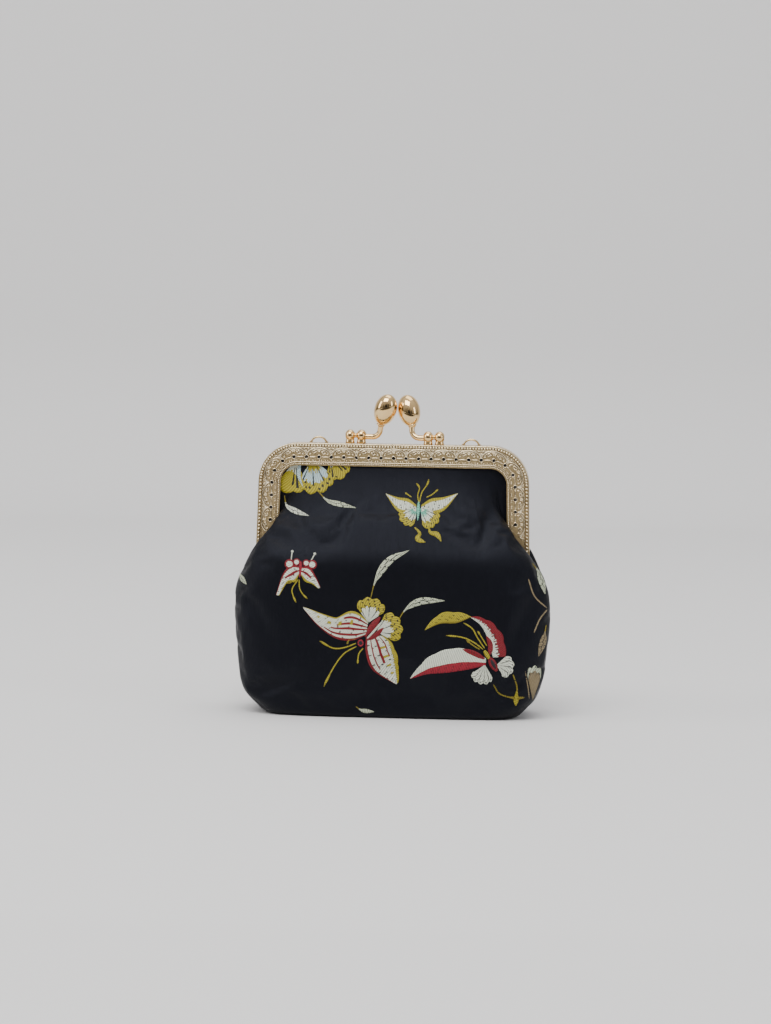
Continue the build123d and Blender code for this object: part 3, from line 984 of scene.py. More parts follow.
def upsampled(field, shape):
    """Bilinear copy of a coarse field at the full grid's points."""
    rows = np.arange(shape[0]) / 2
    columns = np.arange(shape[1]) / 2
    r = np.minimum(rows.astype(int), field.shape[0] - 2)
    c = np.minimum(columns.astype(int), field.shape[1] - 2)
    fr = np.clip(rows - r, 0, 1)[:, None, None]
    fc = np.clip(columns - c, 0, 1)[None, :, None]
    near = field[r][:, c] * (1 - fc) + field[r][:, c + 1] * fc
    far = field[r + 1][:, c] * (1 - fc) + field[r + 1][:, c + 1] * fc
    return near * (1 - fr) + far * fr


def cloth_freedom(grid):
    """From 0 where the cloth is held, at its seams, base and frame, to 1 where it is free."""
    y = -grid[..., 1]
    z = grid[..., 2]
    return np.clip((y - 6.5) / 6.0, 0, 1) * np.clip((z - 1.5) / 9.0, 0, 1)


def grid_piece(name, grid, material):
    """Sheet over a grid of points, with a UV map in tenths of a metre."""
    rows, columns = grid.shape[:2]
    points = [tuple(point) for point in grid.reshape(-1, 3)]
    faces = []
    for row in range(rows - 1):
        for column in range(columns - 1):
            here = row * columns + column
            faces.append((here, here + 1, here + 1 + columns, here + columns))
    piece = new_piece(name, points, faces, material)
    layer = piece.data.uv_layers.new(name="cloth")
    width = np.linalg.norm(np.diff(grid, axis=1), axis=-1).sum(axis=1).mean() / 100
    height = np.linalg.norm(np.diff(grid, axis=0), axis=-1).sum(axis=0).mean() / 100
    for loop in piece.data.loops:
        row, column = divmod(loop.vertex_index, columns)
        layer.data[loop.index].uv = (column / (columns - 1) * width, row / (rows - 1) * height)
    return piece


def thicken(piece, depth):
    """Gives a sheet its thickness on the inner side."""
    modifier = piece.modifiers.new("thickness", "SOLIDIFY")
    modifier.thickness = depth * MM
    modifier.offset = -1.0
    modifier.use_even_offset = False
    bpy.context.view_layer.update()
    return keep_result(piece, modifier)


def bend_with(piece, half):
    """Bakes the piece's placement into its own mesh; half is not used."""
    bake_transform(piece)


def build_pouch_side(half):
    """Outer cloth with its wadding, and the lining inside it. Returns the outer cloth's grid."""
    grid = simulated(settle(cloth_grid()))
    grid[..., 2] = np.maximum(grid[..., 2], 0.0)
    inner = grid - grid_normals(grid) * LINING_DEPTH
    inner[..., 2] = np.maximum(inner[..., 2], LINING_FLOOR)
    if half == "back":
        turn = np.array([-1.0, -1.0, 1.0])
        grid = grid * turn
        inner = inner * turn
    outer = thicken(grid_piece(f"{half}_brocade", grid, SATIN), OUTER_THICKNESS)
    bend_with(outer, half)
    layers = ("outer_panel", "mouth_outer_panel", "wadding", "mouth_wadding")
    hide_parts(*(f"{half}_{layer}" for layer in layers))
    lining = thicken(grid_piece(f"{half}_inner_lining", inner, LINING), LINING_THICKNESS)
    bend_with(lining, half)
    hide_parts(f"{half}_lining", f"{half}_mouth_lining")
    return grid


# ---- Woven motifs ----


class Needlework:
    """Flat floss shapes in (x, z), later laid on the cloth."""

    def __init__(self):
        self.spots = []
        self.lifts = []
        self.faces = []
        self.colours = []
        self.strands = []

    def fill(self, edge_a, edge_b, paint, along=40, across=12, crown=0.10, height=0.0):
        """Floss between two edges that run the same way; paint(u, v) gives each face's colour."""
        a = evenly_along(edge_a, along)
        b = evenly_along(edge_b, along)
        start = len(self.spots)
        length = np.concatenate([[0], np.cumsum(np.linalg.norm(np.diff((a + b) / 2, axis=0), axis=1))])
        for i in range(along + 1):
            width = np.linalg.norm(b[i] - a[i])
            for j in range(across + 1):
                v = j / across
                self.spots.append(tuple(a[i] * (1 - v) + b[i] * v))
                arch = min(1.0, width / 1.2) * (1 - (2 * v - 1) ** 4)
                self.lifts.append(0.04 + height + crown * arch)
                self.strands.append((length[i], v * width))
        for i in range(along):
            for j in range(across):
                here = start + i * (across + 1) + j
                self.faces.append((here, here + across + 1, here + across + 2, here + 1))
                self.colours.append(paint((i + 0.5) / along, (j + 0.5) / across))

    def ribbon(self, points, widths, paint, along=24, across=4, crown=0.10, height=0.0):
        """Floss along a line; widths are half widths at even steps of the line."""
        spine = evenly_along(points, along)
        side = leftward(spine)
        reach = np.interp(np.linspace(0, 1, along + 1), np.linspace(0, 1, len(widths)), widths)[:, None]
        self.fill(spine - side * reach, spine + side * reach, paint, along, across, crown, height)

    def line(self, points, width, colour, club=1.6):
        """Thin line that ends in a small club."""
        widths = [width * 0.6] + [width] * 8 + [width * club, width * club, width * 0.5]
        self.ribbon(points, widths, plain(colour, 5.0), across=2)

    def lines(self, *rows):
        for row in rows:
            self.line(*row)

    def ribbons(self, *rows):
        """One plain ribbon for each (points, widths, colour, stitches, height)."""
        for points, widths, colour, stitches, height in rows:
            self.ribbon(points, widths, plain(colour, stitches), height=height)

    def leaf(self, points, width, colour, split=True):
        """Narrow leaf, pointed at both ends, with a thin stalk at its start."""
        widths = [0.16, 0.18, 0.3, 0.75 * width, width, width, 0.8 * width, 0.45 * width, 0.08]
        self.ribbon(points, widths, leaf_paint(colour, split), along=36, across=8)

    def disc(self, centre, radius, paint, tall=1.0):
        """Round spot of floss."""
        turns = np.linspace(0, math.pi, 13)
        left = [(centre[0] - radius * math.sin(t), centre[1] + radius * tall * math.cos(t)) for t in turns]
        right = [(centre[0] + radius * math.sin(t), centre[1] + radius * tall * math.cos(t)) for t in turns]
        self.fill(left, right, paint, along=20, across=16, height=0.03)

    def fan(self, root, spread, reach, lobes, paint, scallop=0.09, height=0.0):
        """Shell-shaped petal fan: spread is (from angle, to angle) in degrees from straight right."""
        inner = []
        outer = []
        steps = lobes * 6
        for step in range(steps + 1):
            share = step / steps
            turn = math.radians(spread[0] + (spread[1] - spread[0]) * share)
            bow = 1 - scallop * (1 - abs(math.sin(math.pi * lobes * share)))
            far = reach * bow * (1 - 0.22 * abs(2 * share - 1) ** 3)
            inner.append((root[0] + 0.25 * math.cos(turn), root[1] + 0.25 * math.sin(turn)))
            outer.append((root[0] + far * math.cos(turn), root[1] + far * math.sin(turn)))
        self.fill(inner, outer, paint, along=steps, across=14, height=height)


def evenly_along(points, count):
    """count + 1 points at even steps along the smooth line through points."""
    curve = through(points, 8)
    length = np.concatenate([[0], np.cumsum(np.linalg.norm(np.diff(curve, axis=0), axis=1))])
    wanted = np.linspace(0, length[-1], count + 1)
    return np.stack([np.interp(wanted, length, curve[:, axis]) for axis in range(2)], axis=1)


def scalloped(points, lobes, depth, count=60):
    """Line through points whose left side is drawn out in rounded lobes."""
    spine = evenly_along(points, count)
    share = np.linspace(0, 1, count + 1)
    swell = np.abs(np.sin(math.pi * lobes * share))[:, None] * depth
    return spine + leftward(spine) * swell


def leftward(spine):
    """Unit vectors to the left of a line at each of its points."""
    run = np.gradient(spine, axis=0)
    run /= np.maximum(np.linalg.norm(run, axis=1, keepdims=True), 1e-9)
    return np.stack([-run[:, 1], run[:, 0]], axis=1)


def zigzag(value, teeth):
    """Triangle wave from -1 to 1."""
    return 4 * abs((value * teeth) % 1 - 0.5) - 1


def plain(colour, pitch=0.0):
    """One colour, with short dark gaps between stitches every pitch share of the length."""
    def paint(u, v):
        if pitch and (u * pitch + v * 0.5) % 1 < 0.10:
            return tuple(0.45 * part for part in colour)
        return colour
    return paint


def leaf_paint(colour, split):
    """Leaf with a dark, slanting vein."""
    def paint(u, v):
        if split and u > 0.3 and abs(v - 0.5 - 0.1 * zigzag(u, 5)) < 0.06:
            return GAP
        if 0.25 < u < 0.95 and (u * 7 + v * 0.8) % 1 < 0.13 and abs(v - 0.5) > 0.12:
            return GAP
        if u < 0.2:
            return OLIVE
        return colour
    return paint


def petal_paint(inner, outer, edge, rays, border=0.82):
    """Fan petals: rays run from the root, the rim takes the edge colour."""
    def paint(u, v):
        if v > border + 0.05 * zigzag(u, rays):
            return GAP if v < 0.95 and (u * rays * 2 + v * 2.5) % 1 < 0.11 else edge
        if (u * rays) % 1 < 0.16 and v > 0.2:
            return GAP
        if v < 0.38 + 0.08 * zigzag(u, rays * 2):
            return inner
        return outer
    return paint


def wing_paint(body, rim, other_rim, veins, vein_reach=0.55, dashes=9, rim_width=0.12, dots=None):
    """Long wing: rims at both edges, veins from the root, staggered dark stitch gaps."""
    def paint(u, v):
        if v < rim_width:
            return rim
        if v > 1 - rim_width:
            return other_rim
        if dots and abs((u * 6) % 1 - 0.5) < 0.16 and abs(v - 0.62) < 0.09 and 0.15 < u < 0.85:
            return dots
        for vein in range(veins):
            middle = (vein + 1) / (veins + 1)
            if abs(v - middle) < 0.045 and u < vein_reach - 0.08 * vein:
                return RED
        if (u * dashes + v * 1.7) % 1 < 0.17 and int(v * 6 + u * dashes) % 2 == 0:
            return GAP
        return body
    return paint


def toothed_paint(one, other, border, teeth, tip=None):
    """Two colours that meet in long stitches."""
    def paint(u, v):
        meet = border + 0.12 * zigzag(u, 2 * teeth)
        if tip and u > 0.9:
            return tip
        if abs(v - meet) < 0.02:
            return GAP
        if (u * 11 + v * 2) % 1 < 0.09 and v < meet:
            return tuple(0.6 * part for part in one)
        return one if v < meet else other
    return paint


def ring_paint(middle, rim):
    def paint(u, v):
        away = math.hypot(math.cos(math.pi * u), (2 * v - 1) * math.sin(math.pi * u))
        return rim if away > 0.62 else middle
    return paint


def shifted(points, mirror_at):
    """The same points turned over left to right about x = mirror_at."""
    return [(2 * mirror_at - x, z) for x, z in points]


def mint_butterfly(work):
    """Spread butterfly with yellow, white and mint wings."""
    fore = wing_paint(WHITE, YELLOW, YELLOW, 0, dashes=7, rim_width=0.20)
    hind = petal_paint(MINT, WHITE, YELLOW, 5, 0.66)
    top = [(8.7, 80.6), (5.6, 82.9), (1.6, 83.4), (-3.1, 84.8)]
    low = [(8.7, 76.4), (5.4, 76.8), (1.2, 78.4), (-3.1, 84.6)]
    for turned in (False, True):
        upper = shifted(top, 9.6) if turned else top
        lower = shifted(low, 9.6) if turned else low
        if turned:
            upper = [(x + 0.18 * (x - 9.6), z + 0.05 * (x - 9.6)) for x, z in upper]
            lower = [(x + 0.18 * (x - 9.6), z + 0.05 * (x - 9.6)) for x, z in lower]
        work.fill(upper, lower, fore, along=30, across=14)
    work.fan((9.0, 79.4), (190, 262), 8.2, 4, hind, height=0.02)
    work.fan((10.2, 79.4), (278, 350), 9.0, 4, hind, height=0.02)
    work.ribbons(
        ([(9.6, 81.8), (9.5, 78.0), (9.3, 74.6)], (0.25, 0.55, 0.62, 0.4, 0.1), MINT, 6, 0.06),
    )
    work.lines(
        ([(9.7, 81.6), (9.2, 84.2), (9.8, 87.2), (8.6, 89.0)], 0.22, YELLOW),
        ([(9.9, 81.6), (10.8, 85.4), (12.8, 88.6), (13.4, 90.6)], 0.22, YELLOW),
        ([(12.6, 83.6), (14.8, 84.8), (17.0, 86.8)], 0.22, YELLOW),
        ([(6.8, 83.6), (4.4, 85.2)], 0.22, YELLOW),
    )
    work.ribbons(
        ([(8.2, 72.0), (10.2, 69.8), (9.4, 67.6), (12.4, 66.4)],
         (0.2, 0.45, 0.6, 1.0, 0.8, 0.1), YELLOW, 7, 0.0),
        ([(13.6, 72.4), (14.2, 70.2), (16.8, 69.4), (18.4, 66.8)],
         (0.2, 0.45, 0.8, 1.1, 0.7, 0.1), YELLOW, 7, 0.0),
    )


def small_butterfly(work):
    """Small butterfly with drooping wings and club feelers."""
    wing = wing_paint(WHITE, RED, YELLOW, 1, 0.5, 5, 0.16)
    outer = [(-35.9, 57.6), (-39.4, 57.9), (-42.2, 54.2), (-44.6, 46.6)]
    inner = [(-35.9, 54.4), (-37.4, 51.6), (-40.2, 51.4), (-43.4, 46.2)]
    work.fill(outer, inner, wing, along=26, across=12)
    outer = [(-35.1, 57.4), (-31.8, 57.4), (-29.4, 53.8), (-27.6, 49.8)]
    inner = [(-35.1, 54.2), (-33.4, 51.8), (-30.8, 51.0), (-28.6, 49.4)]
    work.fill(outer, inner, wing, along=26, across=12)
    for centre, radius in (
            ((-39.6, 58.4), 1.9), ((-36.9, 59.2), 1.4), ((-33.2, 58.9), 1.4), ((-30.9, 58.4), 1.8)):
        work.disc(centre, radius, ring_paint(WHITE, RED))
    work.ribbons(
        ([(-35.3, 59.6), (-35.4, 56.0), (-35.6, 53.4)], (0.2, 0.6, 0.7, 0.5, 0.15), ROSE, 5, 0.06),
    )
    work.lines(
        ([(-38.9, 59.8), (-38.9, 61.4), (-38.6, 63.8)], 0.2, WHITE, 2.6),
        ([(-31.6, 59.8), (-31.0, 60.6), (-29.8, 63.0)], 0.2, WHITE, 2.6),
        ([(-36.2, 52.6), (-38.4, 49.0), (-38.0, 46.4), (-36.8, 43.8)], 0.22, YELLOW),
        ([(-35.8, 52.6), (-35.6, 49.4), (-34.4, 47.2), (-32.6, 45.4)], 0.22, YELLOW),
        ([(-36.4, 53.6), (-39.4, 51.2), (-41.2, 51.8)], 0.22, OLIVE),
    )


def great_butterfly(work):
    """Large butterfly in side view with two sage leaves rising from it."""
    top = scalloped([(-9.4, 36.4), (-15.4, 39.4), (-21.6, 37.6), (-28.0, 38.4), (-34.2, 41.4)], 2, -0.9)
    low = [(-10.2, 31.2), (-15.6, 29.0), (-22.0, 29.8), (-28.6, 34.4), (-34.2, 40.8)]
    work.fill(low, top, wing_paint(WHITE, RED, YELLOW, 4, 0.62, 12, 0.085, YELLOW), along=56, across=24)
    work.fan((-9.4, 36.0), (34, 128), 9.8, 4, petal_paint(WHITE, WHITE, YELLOW, 9, 0.62), height=0.02)
    work.fan((-6.2, 32.6), (-28, 66), 10.2, 4, petal_paint(WHITE, WHITE, YELLOW, 9, 0.60), height=0.02)
    left = [(-10.2, 30.6), (-10.2, 24.6), (-7.4, 17.8), (1.4, 12.6)]
    right = scalloped([(-3.8, 31.2), (0.4, 26.6), (1.8, 20.4), (2.0, 12.8)], 3, 0.6)
    work.fill(left, right, wing_paint(WHITE, RED, YELLOW, 3, 0.60, 12, 0.10, YELLOW), along=48, across=22)
    rim = scalloped([(-0.8, 28.8), (1.6, 22.0), (2.2, 13.0)], 4, 0.5)
    work.fill([(-2.4, 28.4), (-0.6, 21.6), (1.4, 13.4)], rim, toothed_paint(WHITE, YELLOW, 0.45, 11),
              along=36, across=10, height=0.04)
    work.ribbons(
        ([(-4.9, 38.2), (-7.6, 34.8), (-10.6, 30.6)], (0.3, 1.0, 1.35, 1.2, 0.7, 0.3), RED, 9, 0.09),
        ([(-3.6, 34.2), (-6.6, 31.2), (-9.6, 29.4)], (0.3, 0.8, 0.95, 0.8, 0.3), RED, 8, 0.09),
        ([(-4.6, 36.2), (-7.2, 32.8), (-9.8, 30.0)], (0.2, 0.35, 0.4, 0.35, 0.2), WHITE, 8, 0.13),
    )
    work.disc((-12.2, 28.2), 1.15, ring_paint(GAP, ROSE), 1.2)
    work.lines(
        ([(-14.0, 28.0), (-18.6, 26.2), (-22.8, 26.0), (-27.8, 28.6)], 0.26, YELLOW),
        ([(-13.8, 26.8), (-18.4, 24.0), (-22.2, 18.8), (-26.0, 11.2)], 0.26, YELLOW),
        ([(-11.2, 26.2), (-12.8, 24.0), (-13.2, 20.2)], 0.24, YELLOW),
        ([(-14.2, 29.6), (-16.4, 29.4), (-17.4, 27.6)], 0.24, OLIVE),
    )
    work.leaf([(-8.6, 45.6), (-6.8, 52.2), (-2.0, 59.6), (5.6, 63.8)], 1.45, SAGE)
    work.leaf([(1.8, 36.8), (4.8, 41.4), (10.6, 44.6), (19.4, 45.0)], 1.35, SAGE)


def crescent_butterfly(work):
    """Butterfly in flight with long swept wings."""
    work.fill([(11.8, 33.0), (17.6, 35.6), (23.8, 36.0), (29.2, 38.4)],
              scalloped([(11.8, 33.2), (17.2, 39.0), (23.6, 40.0), (29.2, 38.6)], 3, 0.35),
              wing_paint(YELLOW, OLIVE, YELLOW, 0, dashes=9, rim_width=0.2), along=36, across=12)
    outer = scalloped([(29.2, 38.6), (35.8, 37.0), (41.0, 31.4), (42.6, 23.6)], 4, 0.55)
    inner = [(29.2, 38.2), (33.2, 35.0), (36.0, 29.6), (37.8, 23.2)]
    work.fill(inner, outer, toothed_paint(WHITE, RED, 0.42, 9), along=44, across=14)
    work.ribbons(
        ([(35.2, 31.2), (36.8, 28.2), (36.6, 24.2)], (0.2, 0.9, 1.1, 1.0, 0.3), RED, 7, 0.05),
    )
    top = scalloped([(35.2, 22.8), (28.8, 25.8), (21.4, 26.0), (13.2, 22.4), (6.6, 14.6)], 5, -0.25)
    low = [(35.2, 20.2), (29.2, 18.6), (20.4, 17.0), (13.0, 16.2), (6.6, 14.2)]
    work.fill(low, top, toothed_paint(ROSE, WHITE, 0.38, 14), along=56, across=16)
    work.ribbons(
        ([(34.6, 22.6), (30.4, 24.6), (26.2, 26.2)], (0.4, 1.0, 1.1, 0.9, 0.1), RED, 8, 0.06),
    )
    work.fan((34.8, 20.4), (213, 302), 7.7, 5, petal_paint(WHITE, WHITE, WHITE, 5), height=0.05)
    work.fan((39.2, 20.4), (-62, 44), 6.8, 4, petal_paint(WHITE, WHITE, WHITE, 4), height=0.05)
    work.ribbons(
        ([(36.4, 23.4), (37.8, 20.8), (39.4, 18.0)], (0.4, 1.25, 1.45, 1.2, 0.4), RED, 6, 0.12),
        ([(36.9, 22.6), (37.9, 20.8), (39.0, 18.8)], (0.2, 0.6, 0.75, 0.6, 0.2), GAP, 0, 0.18),
        ([(34.4, 25.8), (35.4, 24.4), (36.4, 22.8)], (0.4, 0.8, 0.8, 0.5), YELLOW, 5, 0.14),
    )
    work.lines(
        ([(34.0, 26.2), (30.8, 28.6), (26.2, 30.6), (20.0, 31.2)], 0.26, YELLOW, 1.3),
        ([(34.6, 26.6), (31.8, 30.6), (29.8, 34.0), (26.4, 36.2)], 0.24, YELLOW, 1.2),
        ([(32.8, 26.2), (30.6, 27.4), (27.6, 29.6)], 0.26, OLIVE),
        ([(35.4, 27.6), (33.6, 30.4), (31.8, 33.2)], 0.22, YELLOW),
        ([(38.2, 12.8), (40.8, 9.2), (46.0, 7.6)], 0.26, OLIVE, 1.0),
        ([(45.6, 16.8), (47.2, 12.2), (47.2, 8.0)], 0.26, OLIVE, 1.0),
    )
    work.ribbons(
        ([(47.2, 10.4), (47.1, 7.6), (47.0, 4.8)], (0.3, 0.6, 1.0, 0.9, 0.2), YELLOW, 5, 0.0),
        ([(44.2, 8.0), (47.2, 7.7), (50.2, 8.0)], (0.2, 0.5, 0.6, 0.5, 0.2), OLIVE, 5, 0.0),
    )


def edge_sprays(work):
    """Leaves and stems that run over the sides of the cloth."""
    work.lines(
        ([(51.8, 53.2), (54.2, 46.8), (59.2, 42.2)], 0.26, SAND, 1.0),
        ([(59.2, 41.6), (56.4, 38.0), (54.2, 32.8)], 0.26, SAND, 1.0),
    )
    work.leaf([(53.4, 59.2), (56.2, 55.2), (58.4, 47.6)], 1.3, SAGE)
    work.leaf([(59.0, 35.8), (58.0, 30.0), (56.2, 23.8)], 1.3, SAND)
    work.fan((54.4, 6.8), (72, 104), 13.6, 3, petal_paint(SAND, SAND, SAGE, 6, 0.86))
    work.line([(51.2, 18.0), (52.4, 12.0), (53.0, 7.6)], 0.2, SAND, 1.0)
    work.leaf([(-59.2, 53.6), (-58.0, 51.4), (-55.8, 48.8)], 0.9, SAGE)
    work.leaf([(-13.0, 3.0), (-10.6, 1.6), (-6.0, 1.2)], 0.8, SAGE, False)


def shoulder_flower(work):
    """Large yellow and pale blue flower at the top left, partly behind the band."""
    petals = petal_paint(WHITE, YELLOW, YELLOW, 8, 0.72)
    pale = petal_paint(YELLOW, PALE_BLUE, YELLOW, 7, 0.70)
    work.fan((-38.0, 97.0), (206, 296), 13.4, 3, petals)
    work.fan((-31.6, 97.6), (236, 322), 13.8, 4, pale, height=0.05)
    work.fan((-24.6, 98.4), (258, 342), 9.6, 3, petals, height=0.02)
    work.ribbons(
        ([(-36.2, 96.4), (-36.8, 91.6), (-35.0, 86.6)], (0.3, 0.7, 0.8, 0.5, 0.1), PALE_BLUE, 7, 0.1),
    )
    work.leaf([(-42.2, 83.2), (-41.2, 79.4), (-37.4, 77.2), (-32.4, 75.6)], 1.05, WHITE)
    work.leaf([(-29.2, 85.2), (-25.4, 81.6), (-20.2, 80.2), (-14.4, 79.0)], 1.0, SAGE)


def flutter(motif, shift, mirrored=False):
    """The same motif moved, and turned over left to right if mirrored."""
    def moved(work):
        first = len(work.spots)
        motif(work)
        for index in range(first, len(work.spots)):
            x, z = work.spots[index]
            work.spots[index] = ((-x if mirrored else x) + shift[0], z + shift[1])
    return moved


FRONT_MOTIFS = {
    "mint_butterfly": mint_butterfly,
    "small_butterfly": flutter(small_butterfly, (0.4, -1.4)),
    "great_butterfly": flutter(great_butterfly, (0.6, -0.6)),
    "crescent_butterfly": flutter(crescent_butterfly, (0.9, 0)),
    "edge_sprays": edge_sprays,
    "shoulder_flower": shoulder_flower,
}
BACK_MOTIFS = {
    "mint_butterfly": flutter(mint_butterfly, (16, -4), mirrored=True),
    "small_butterfly": flutter(small_butterfly, (10, 11)),
    "great_butterfly": flutter(great_butterfly, (14, 0), mirrored=True),
    "crescent_butterfly": flutter(crescent_butterfly, (0, 10), mirrored=True),
    "edge_sprays": flutter(edge_sprays, (0, 0), mirrored=True),
}


LAYING_REACH = 60          # from well outside the cloth, in millimetres
FLOSS_THICKNESS = 0.10


def lay_on_cloth(name, work, tree, half):
    """Projects the flat needlework from the meeting plane on to the cloth and makes it a piece."""
    facing = -1 if half == "front" else 1
    outwards = Vector((-0.055 * facing, facing, 0.075)).normalized()
    points = []
    for (x, z), lift in zip(work.spots, work.lifts):
        hit, normal = tree.ray_cast(Vector((x, 0, z)) + outwards * LAYING_REACH, -outwards)[:2]
        if hit is None:
            hit, normal = tree.find_nearest(Vector((x, facing * 8, z)))[:2]
        if normal.y * facing < 0:
            normal = -normal
        points.append(hit + normal * lift)
    piece = new_piece(name, points, work.faces, FLOSS)
    mesh = piece.data
    dye = mesh.attributes.new("floss", "FLOAT_COLOR", "CORNER")
    layer = mesh.uv_layers.new(name="strands")
    for polygon, colour in zip(mesh.polygons, work.colours):
        for loop in polygon.loop_indices:
            dye.data[loop].color = (*colour, 1.0)
            layer.data[loop].uv = work.strands[mesh.loops[loop].vertex_index]
    flip_towards(piece, Vector((0, facing, 0)))
    thicken(piece, FLOSS_THICKNESS)
    bend_with(piece, half)
    return piece


def flip_towards(piece, direction):
    """Turns faces whose normals point away from direction."""
    work = bmesh.new()
    work.from_mesh(piece.data)
    away = [face for face in work.faces if face.normal.dot(direction) < 0]
    bmesh.ops.reverse_faces(work, faces=away)
    work.to_mesh(piece.data)
    work.free()


def build_motifs(half, grid):
    laying = grid_piece("laying_surface", grid, SATIN)
    corners = [vertex.co / MM for vertex in laying.data.vertices]
    tree = BVHTree.FromPolygons(corners, [tuple(face.vertices) for face in laying.data.polygons])
    bpy.data.objects.remove(laying)
    motifs = FRONT_MOTIFS if half == "front" else BACK_MOTIFS
    for name, motif in motifs.items():
        work = Needlework()
        motif(work)
        lay_on_cloth(f"{half}_{name}", work, tree, half)


# ---- Camera, light and floor ----


# metres and degrees
EYE_DISTANCE = 1.05
EYE_TURN = 3.5
EYE_RISE = 4.0
EYE_ROLL = 0.95
VIEW_HEIGHT = 0.3955       # height of the view at the purse
SENSOR = 36.0
STAGE_HALF_WIDTH = 3.0
STAGE_FRONT = 3.0
WALL_Y = 1.10
WALL_CURVE = 0.14
WALL_HEIGHT = 3.0

# name, place, what it points at, size, power and colour of each light
STUDIO_LIGHTS = (
    ("high_front_panel", (-0.35, -1.15, 1.75), (0, 0, 0.06), (1.5, 1.0), 38, (1.0, 0.99, 0.97)),
    ("top_panel", (0.2, 0.35, 1.7), (0, 0, 0.05), (1.3, 1.0), 9, (1.0, 0.99, 0.97)),
    ("left_window", (-1.5, -0.5, 0.7), (0, 0, 0.06), (0.5, 1.0), 7, (1.0, 0.98, 0.96)),
    ("right_fill", (1.5, -0.8, 0.6), (0, 0, 0.06), (0.4, 0.8), 4, (0.95, 0.97, 1.0)),
)

# Dark studio flags, seen only in reflections, in millimetres: one lies on the floor, one stands
# below the camera, and the rest stand behind it, given by x, width and height.
FLOOR_FLAG = ((-900, -2300, 1), (900, -380, 9))
CAMERA_FLAG = ((-330, -1500, 60), (330, -1480, 520))
DARK_CARDS = (
    (-950, 300, 700), (-420, 130, 900), (-180, 70, 620), (120, 240, 820), (430, 60, 950), (800, 360, 640))
CARD_FRONT = -1696
CARD_BACK = -1704
CARD_FOOT = 40

# brightness of the room from straight below, past the horizon, to straight above
SKY_STOPS = (
    (0.0, (0.10, 0.10, 0.10, 1.0)),
    (0.50, (0.16, 0.16, 0.17, 1.0)),
    (0.60, (0.42, 0.42, 0.44, 1.0)),
    (1.0, (1.0, 1.0, 1.04, 1.0)),
)
SKY_STRENGTH = 0.92


def build_camera():
    """Eye a little to the right of the front and a little above the purse."""
    turn = math.radians(EYE_TURN)
    rise = math.radians(EYE_RISE)
    aim = Vector((-0.0031, 0, 0.0777))
    away = Vector((math.sin(turn) * math.cos(rise), -math.cos(turn) * math.cos(rise), math.sin(rise)))
    camera = bpy.data.objects.new("camera", bpy.data.cameras.new("camera"))
    camera.data.sensor_fit = "VERTICAL"
    camera.data.sensor_height = SENSOR
    camera.data.lens = SENSOR * EYE_DISTANCE / VIEW_HEIGHT
    camera.data.clip_start = 0.01
    camera.location = aim + away * EYE_DISTANCE
    camera.rotation_euler = (aim - camera.location).to_track_quat("-Z", "Y").to_euler()
    camera.rotation_euler.rotate_axis("Z", math.radians(EYE_ROLL))
    bpy.context.scene.collection.objects.link(camera)
    bpy.context.scene.camera = camera


def soft_light(name, place, aim, size, power, colour):
    lamp = bpy.data.lights.new(name, "AREA")
    lamp.shape = "RECTANGLE"
    lamp.size, lamp.size_y = size
    lamp.energy = power
    lamp.color = colour
    item = bpy.data.objects.new(name, lamp)
    item.location = place
    item.rotation_euler = (Vector(aim) - Vector(place)).to_track_quat("-Z", "Y").to_euler()
    bpy.context.scene.collection.objects.link(item)


def stage_material(name, colour):
    material, shader, places = new_material(name)
    here = Wire(places.outputs["Object"])
    cloud = here.noise(6.0, 2.0)
    feed(
        shader,
        Base_Color=cloud.blend(shade([0.985 * part for part in colour]), shade(colour)),
        Roughness=0.9,
    )
    return material


def slab(low, high):
    """Plain box between two corners."""
    points = [(x, y, z) for x in (low[0], high[0]) for y in (low[1], high[1]) for z in (low[2], high[2])]
    faces = [(0, 1, 3, 2), (4, 6, 7, 5), (0, 4, 5, 1), (2, 3, 7, 6), (0, 2, 6, 4), (1, 5, 7, 3)]
    return points, faces


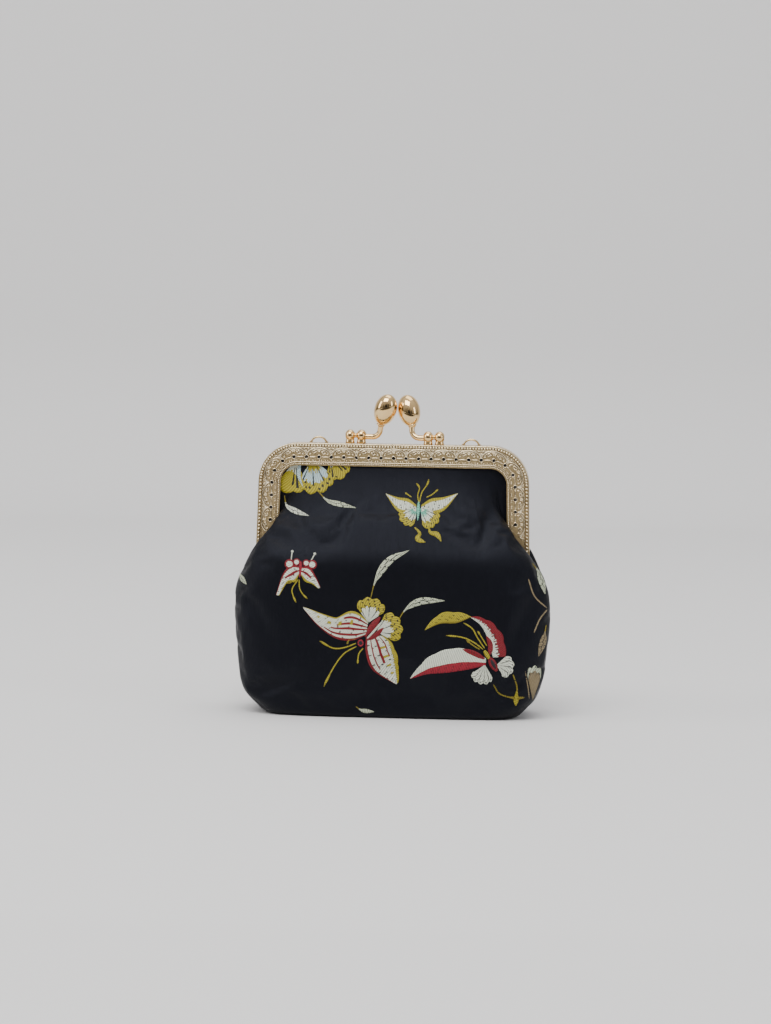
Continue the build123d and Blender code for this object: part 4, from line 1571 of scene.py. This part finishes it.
def build_backdrop():
    """Floor that curves up into a wall."""
    outline = [(-STAGE_FRONT, 0.0), (-1.0, 0.0), (WALL_Y - WALL_CURVE, 0.0)]
    for step in range(1, 13):
        turn = math.pi / 2 * step / 12
        outline.append(
            (WALL_Y - WALL_CURVE + WALL_CURVE * math.sin(turn), WALL_CURVE - WALL_CURVE * math.cos(turn)))
    outline.append((WALL_Y, WALL_HEIGHT))
    points = []
    for y, z in outline:
        points += [(side * STAGE_HALF_WIDTH / MM, y / MM, z / MM) for side in (-1, 1)]
    faces = [(2 * i, 2 * i + 1, 2 * i + 3, 2 * i + 2) for i in range(len(outline) - 1)]
    new_piece("backdrop", points, faces, stage_material("pale_backdrop", (0.73, 0.725, 0.72)))


def build_flags():
    """Dark cards that give the metal and the satin something dark to mirror."""
    cards = [slab(*FLOOR_FLAG), slab(*CAMERA_FLAG)]
    for x, width, height in DARK_CARDS:
        cards.append(slab(
            (x - width / 2, CARD_BACK, CARD_FOOT), (x + width / 2, CARD_FRONT, CARD_FOOT + height)))
    dark = new_piece("dark_cards", *join_shapes(cards), stage_material("dark_card", (0.02, 0.02, 0.022)))
    for sight in ("visible_camera", "visible_diffuse", "visible_shadow", "visible_transmission"):
        setattr(dark, sight, False)


def build_sky():
    """Room light, dark below the horizon and bright above."""
    world = bpy.data.worlds.new("studio")
    world.use_nodes = True
    tree = world.node_tree
    sky = Wire(tree.nodes.new("ShaderNodeTexCoord").outputs["Generated"])
    rise = sky.part("Z")
    glow = rise.node("ShaderNodeValToRGB", {"stops": SKY_STOPS}, {"Fac": rise * 0.5 + 0.5})
    background = tree.nodes["Background"]
    tree.links.new(glow.socket, background.inputs["Color"])
    background.inputs["Strength"].default_value = SKY_STRENGTH
    bpy.context.scene.world = world


# ---- Assembly ----

build_camera()
build_backdrop()
build_flags()
build_sky()
for light in STUDIO_LIGHTS:
    soft_light(*light)

NODE_FINISH = {
    "front_frame": GROUND_GOLD_STIPPLE_AND_PAINTED_SHADE,
    "back_frame": GROUND_GOLD_STIPPLE_AND_PAINTED_SHADE,
    "left_hinge_rivet": PLATED,
    "right_hinge_rivet": PLATED,
    "left_chain_loop": PLATED,
    "right_chain_loop": PLATED,
}
for node, finish in NODE_FINISH.items():
    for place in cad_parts[node].material_slots:
        place.material = finish

for half, hand in (("front", 1), ("back", -1)):
    build_band(half)
    build_sewing_thread(half)
    build_clasp(half, hand)
    cloth = build_pouch_side(half)
    build_motifs(half, cloth)
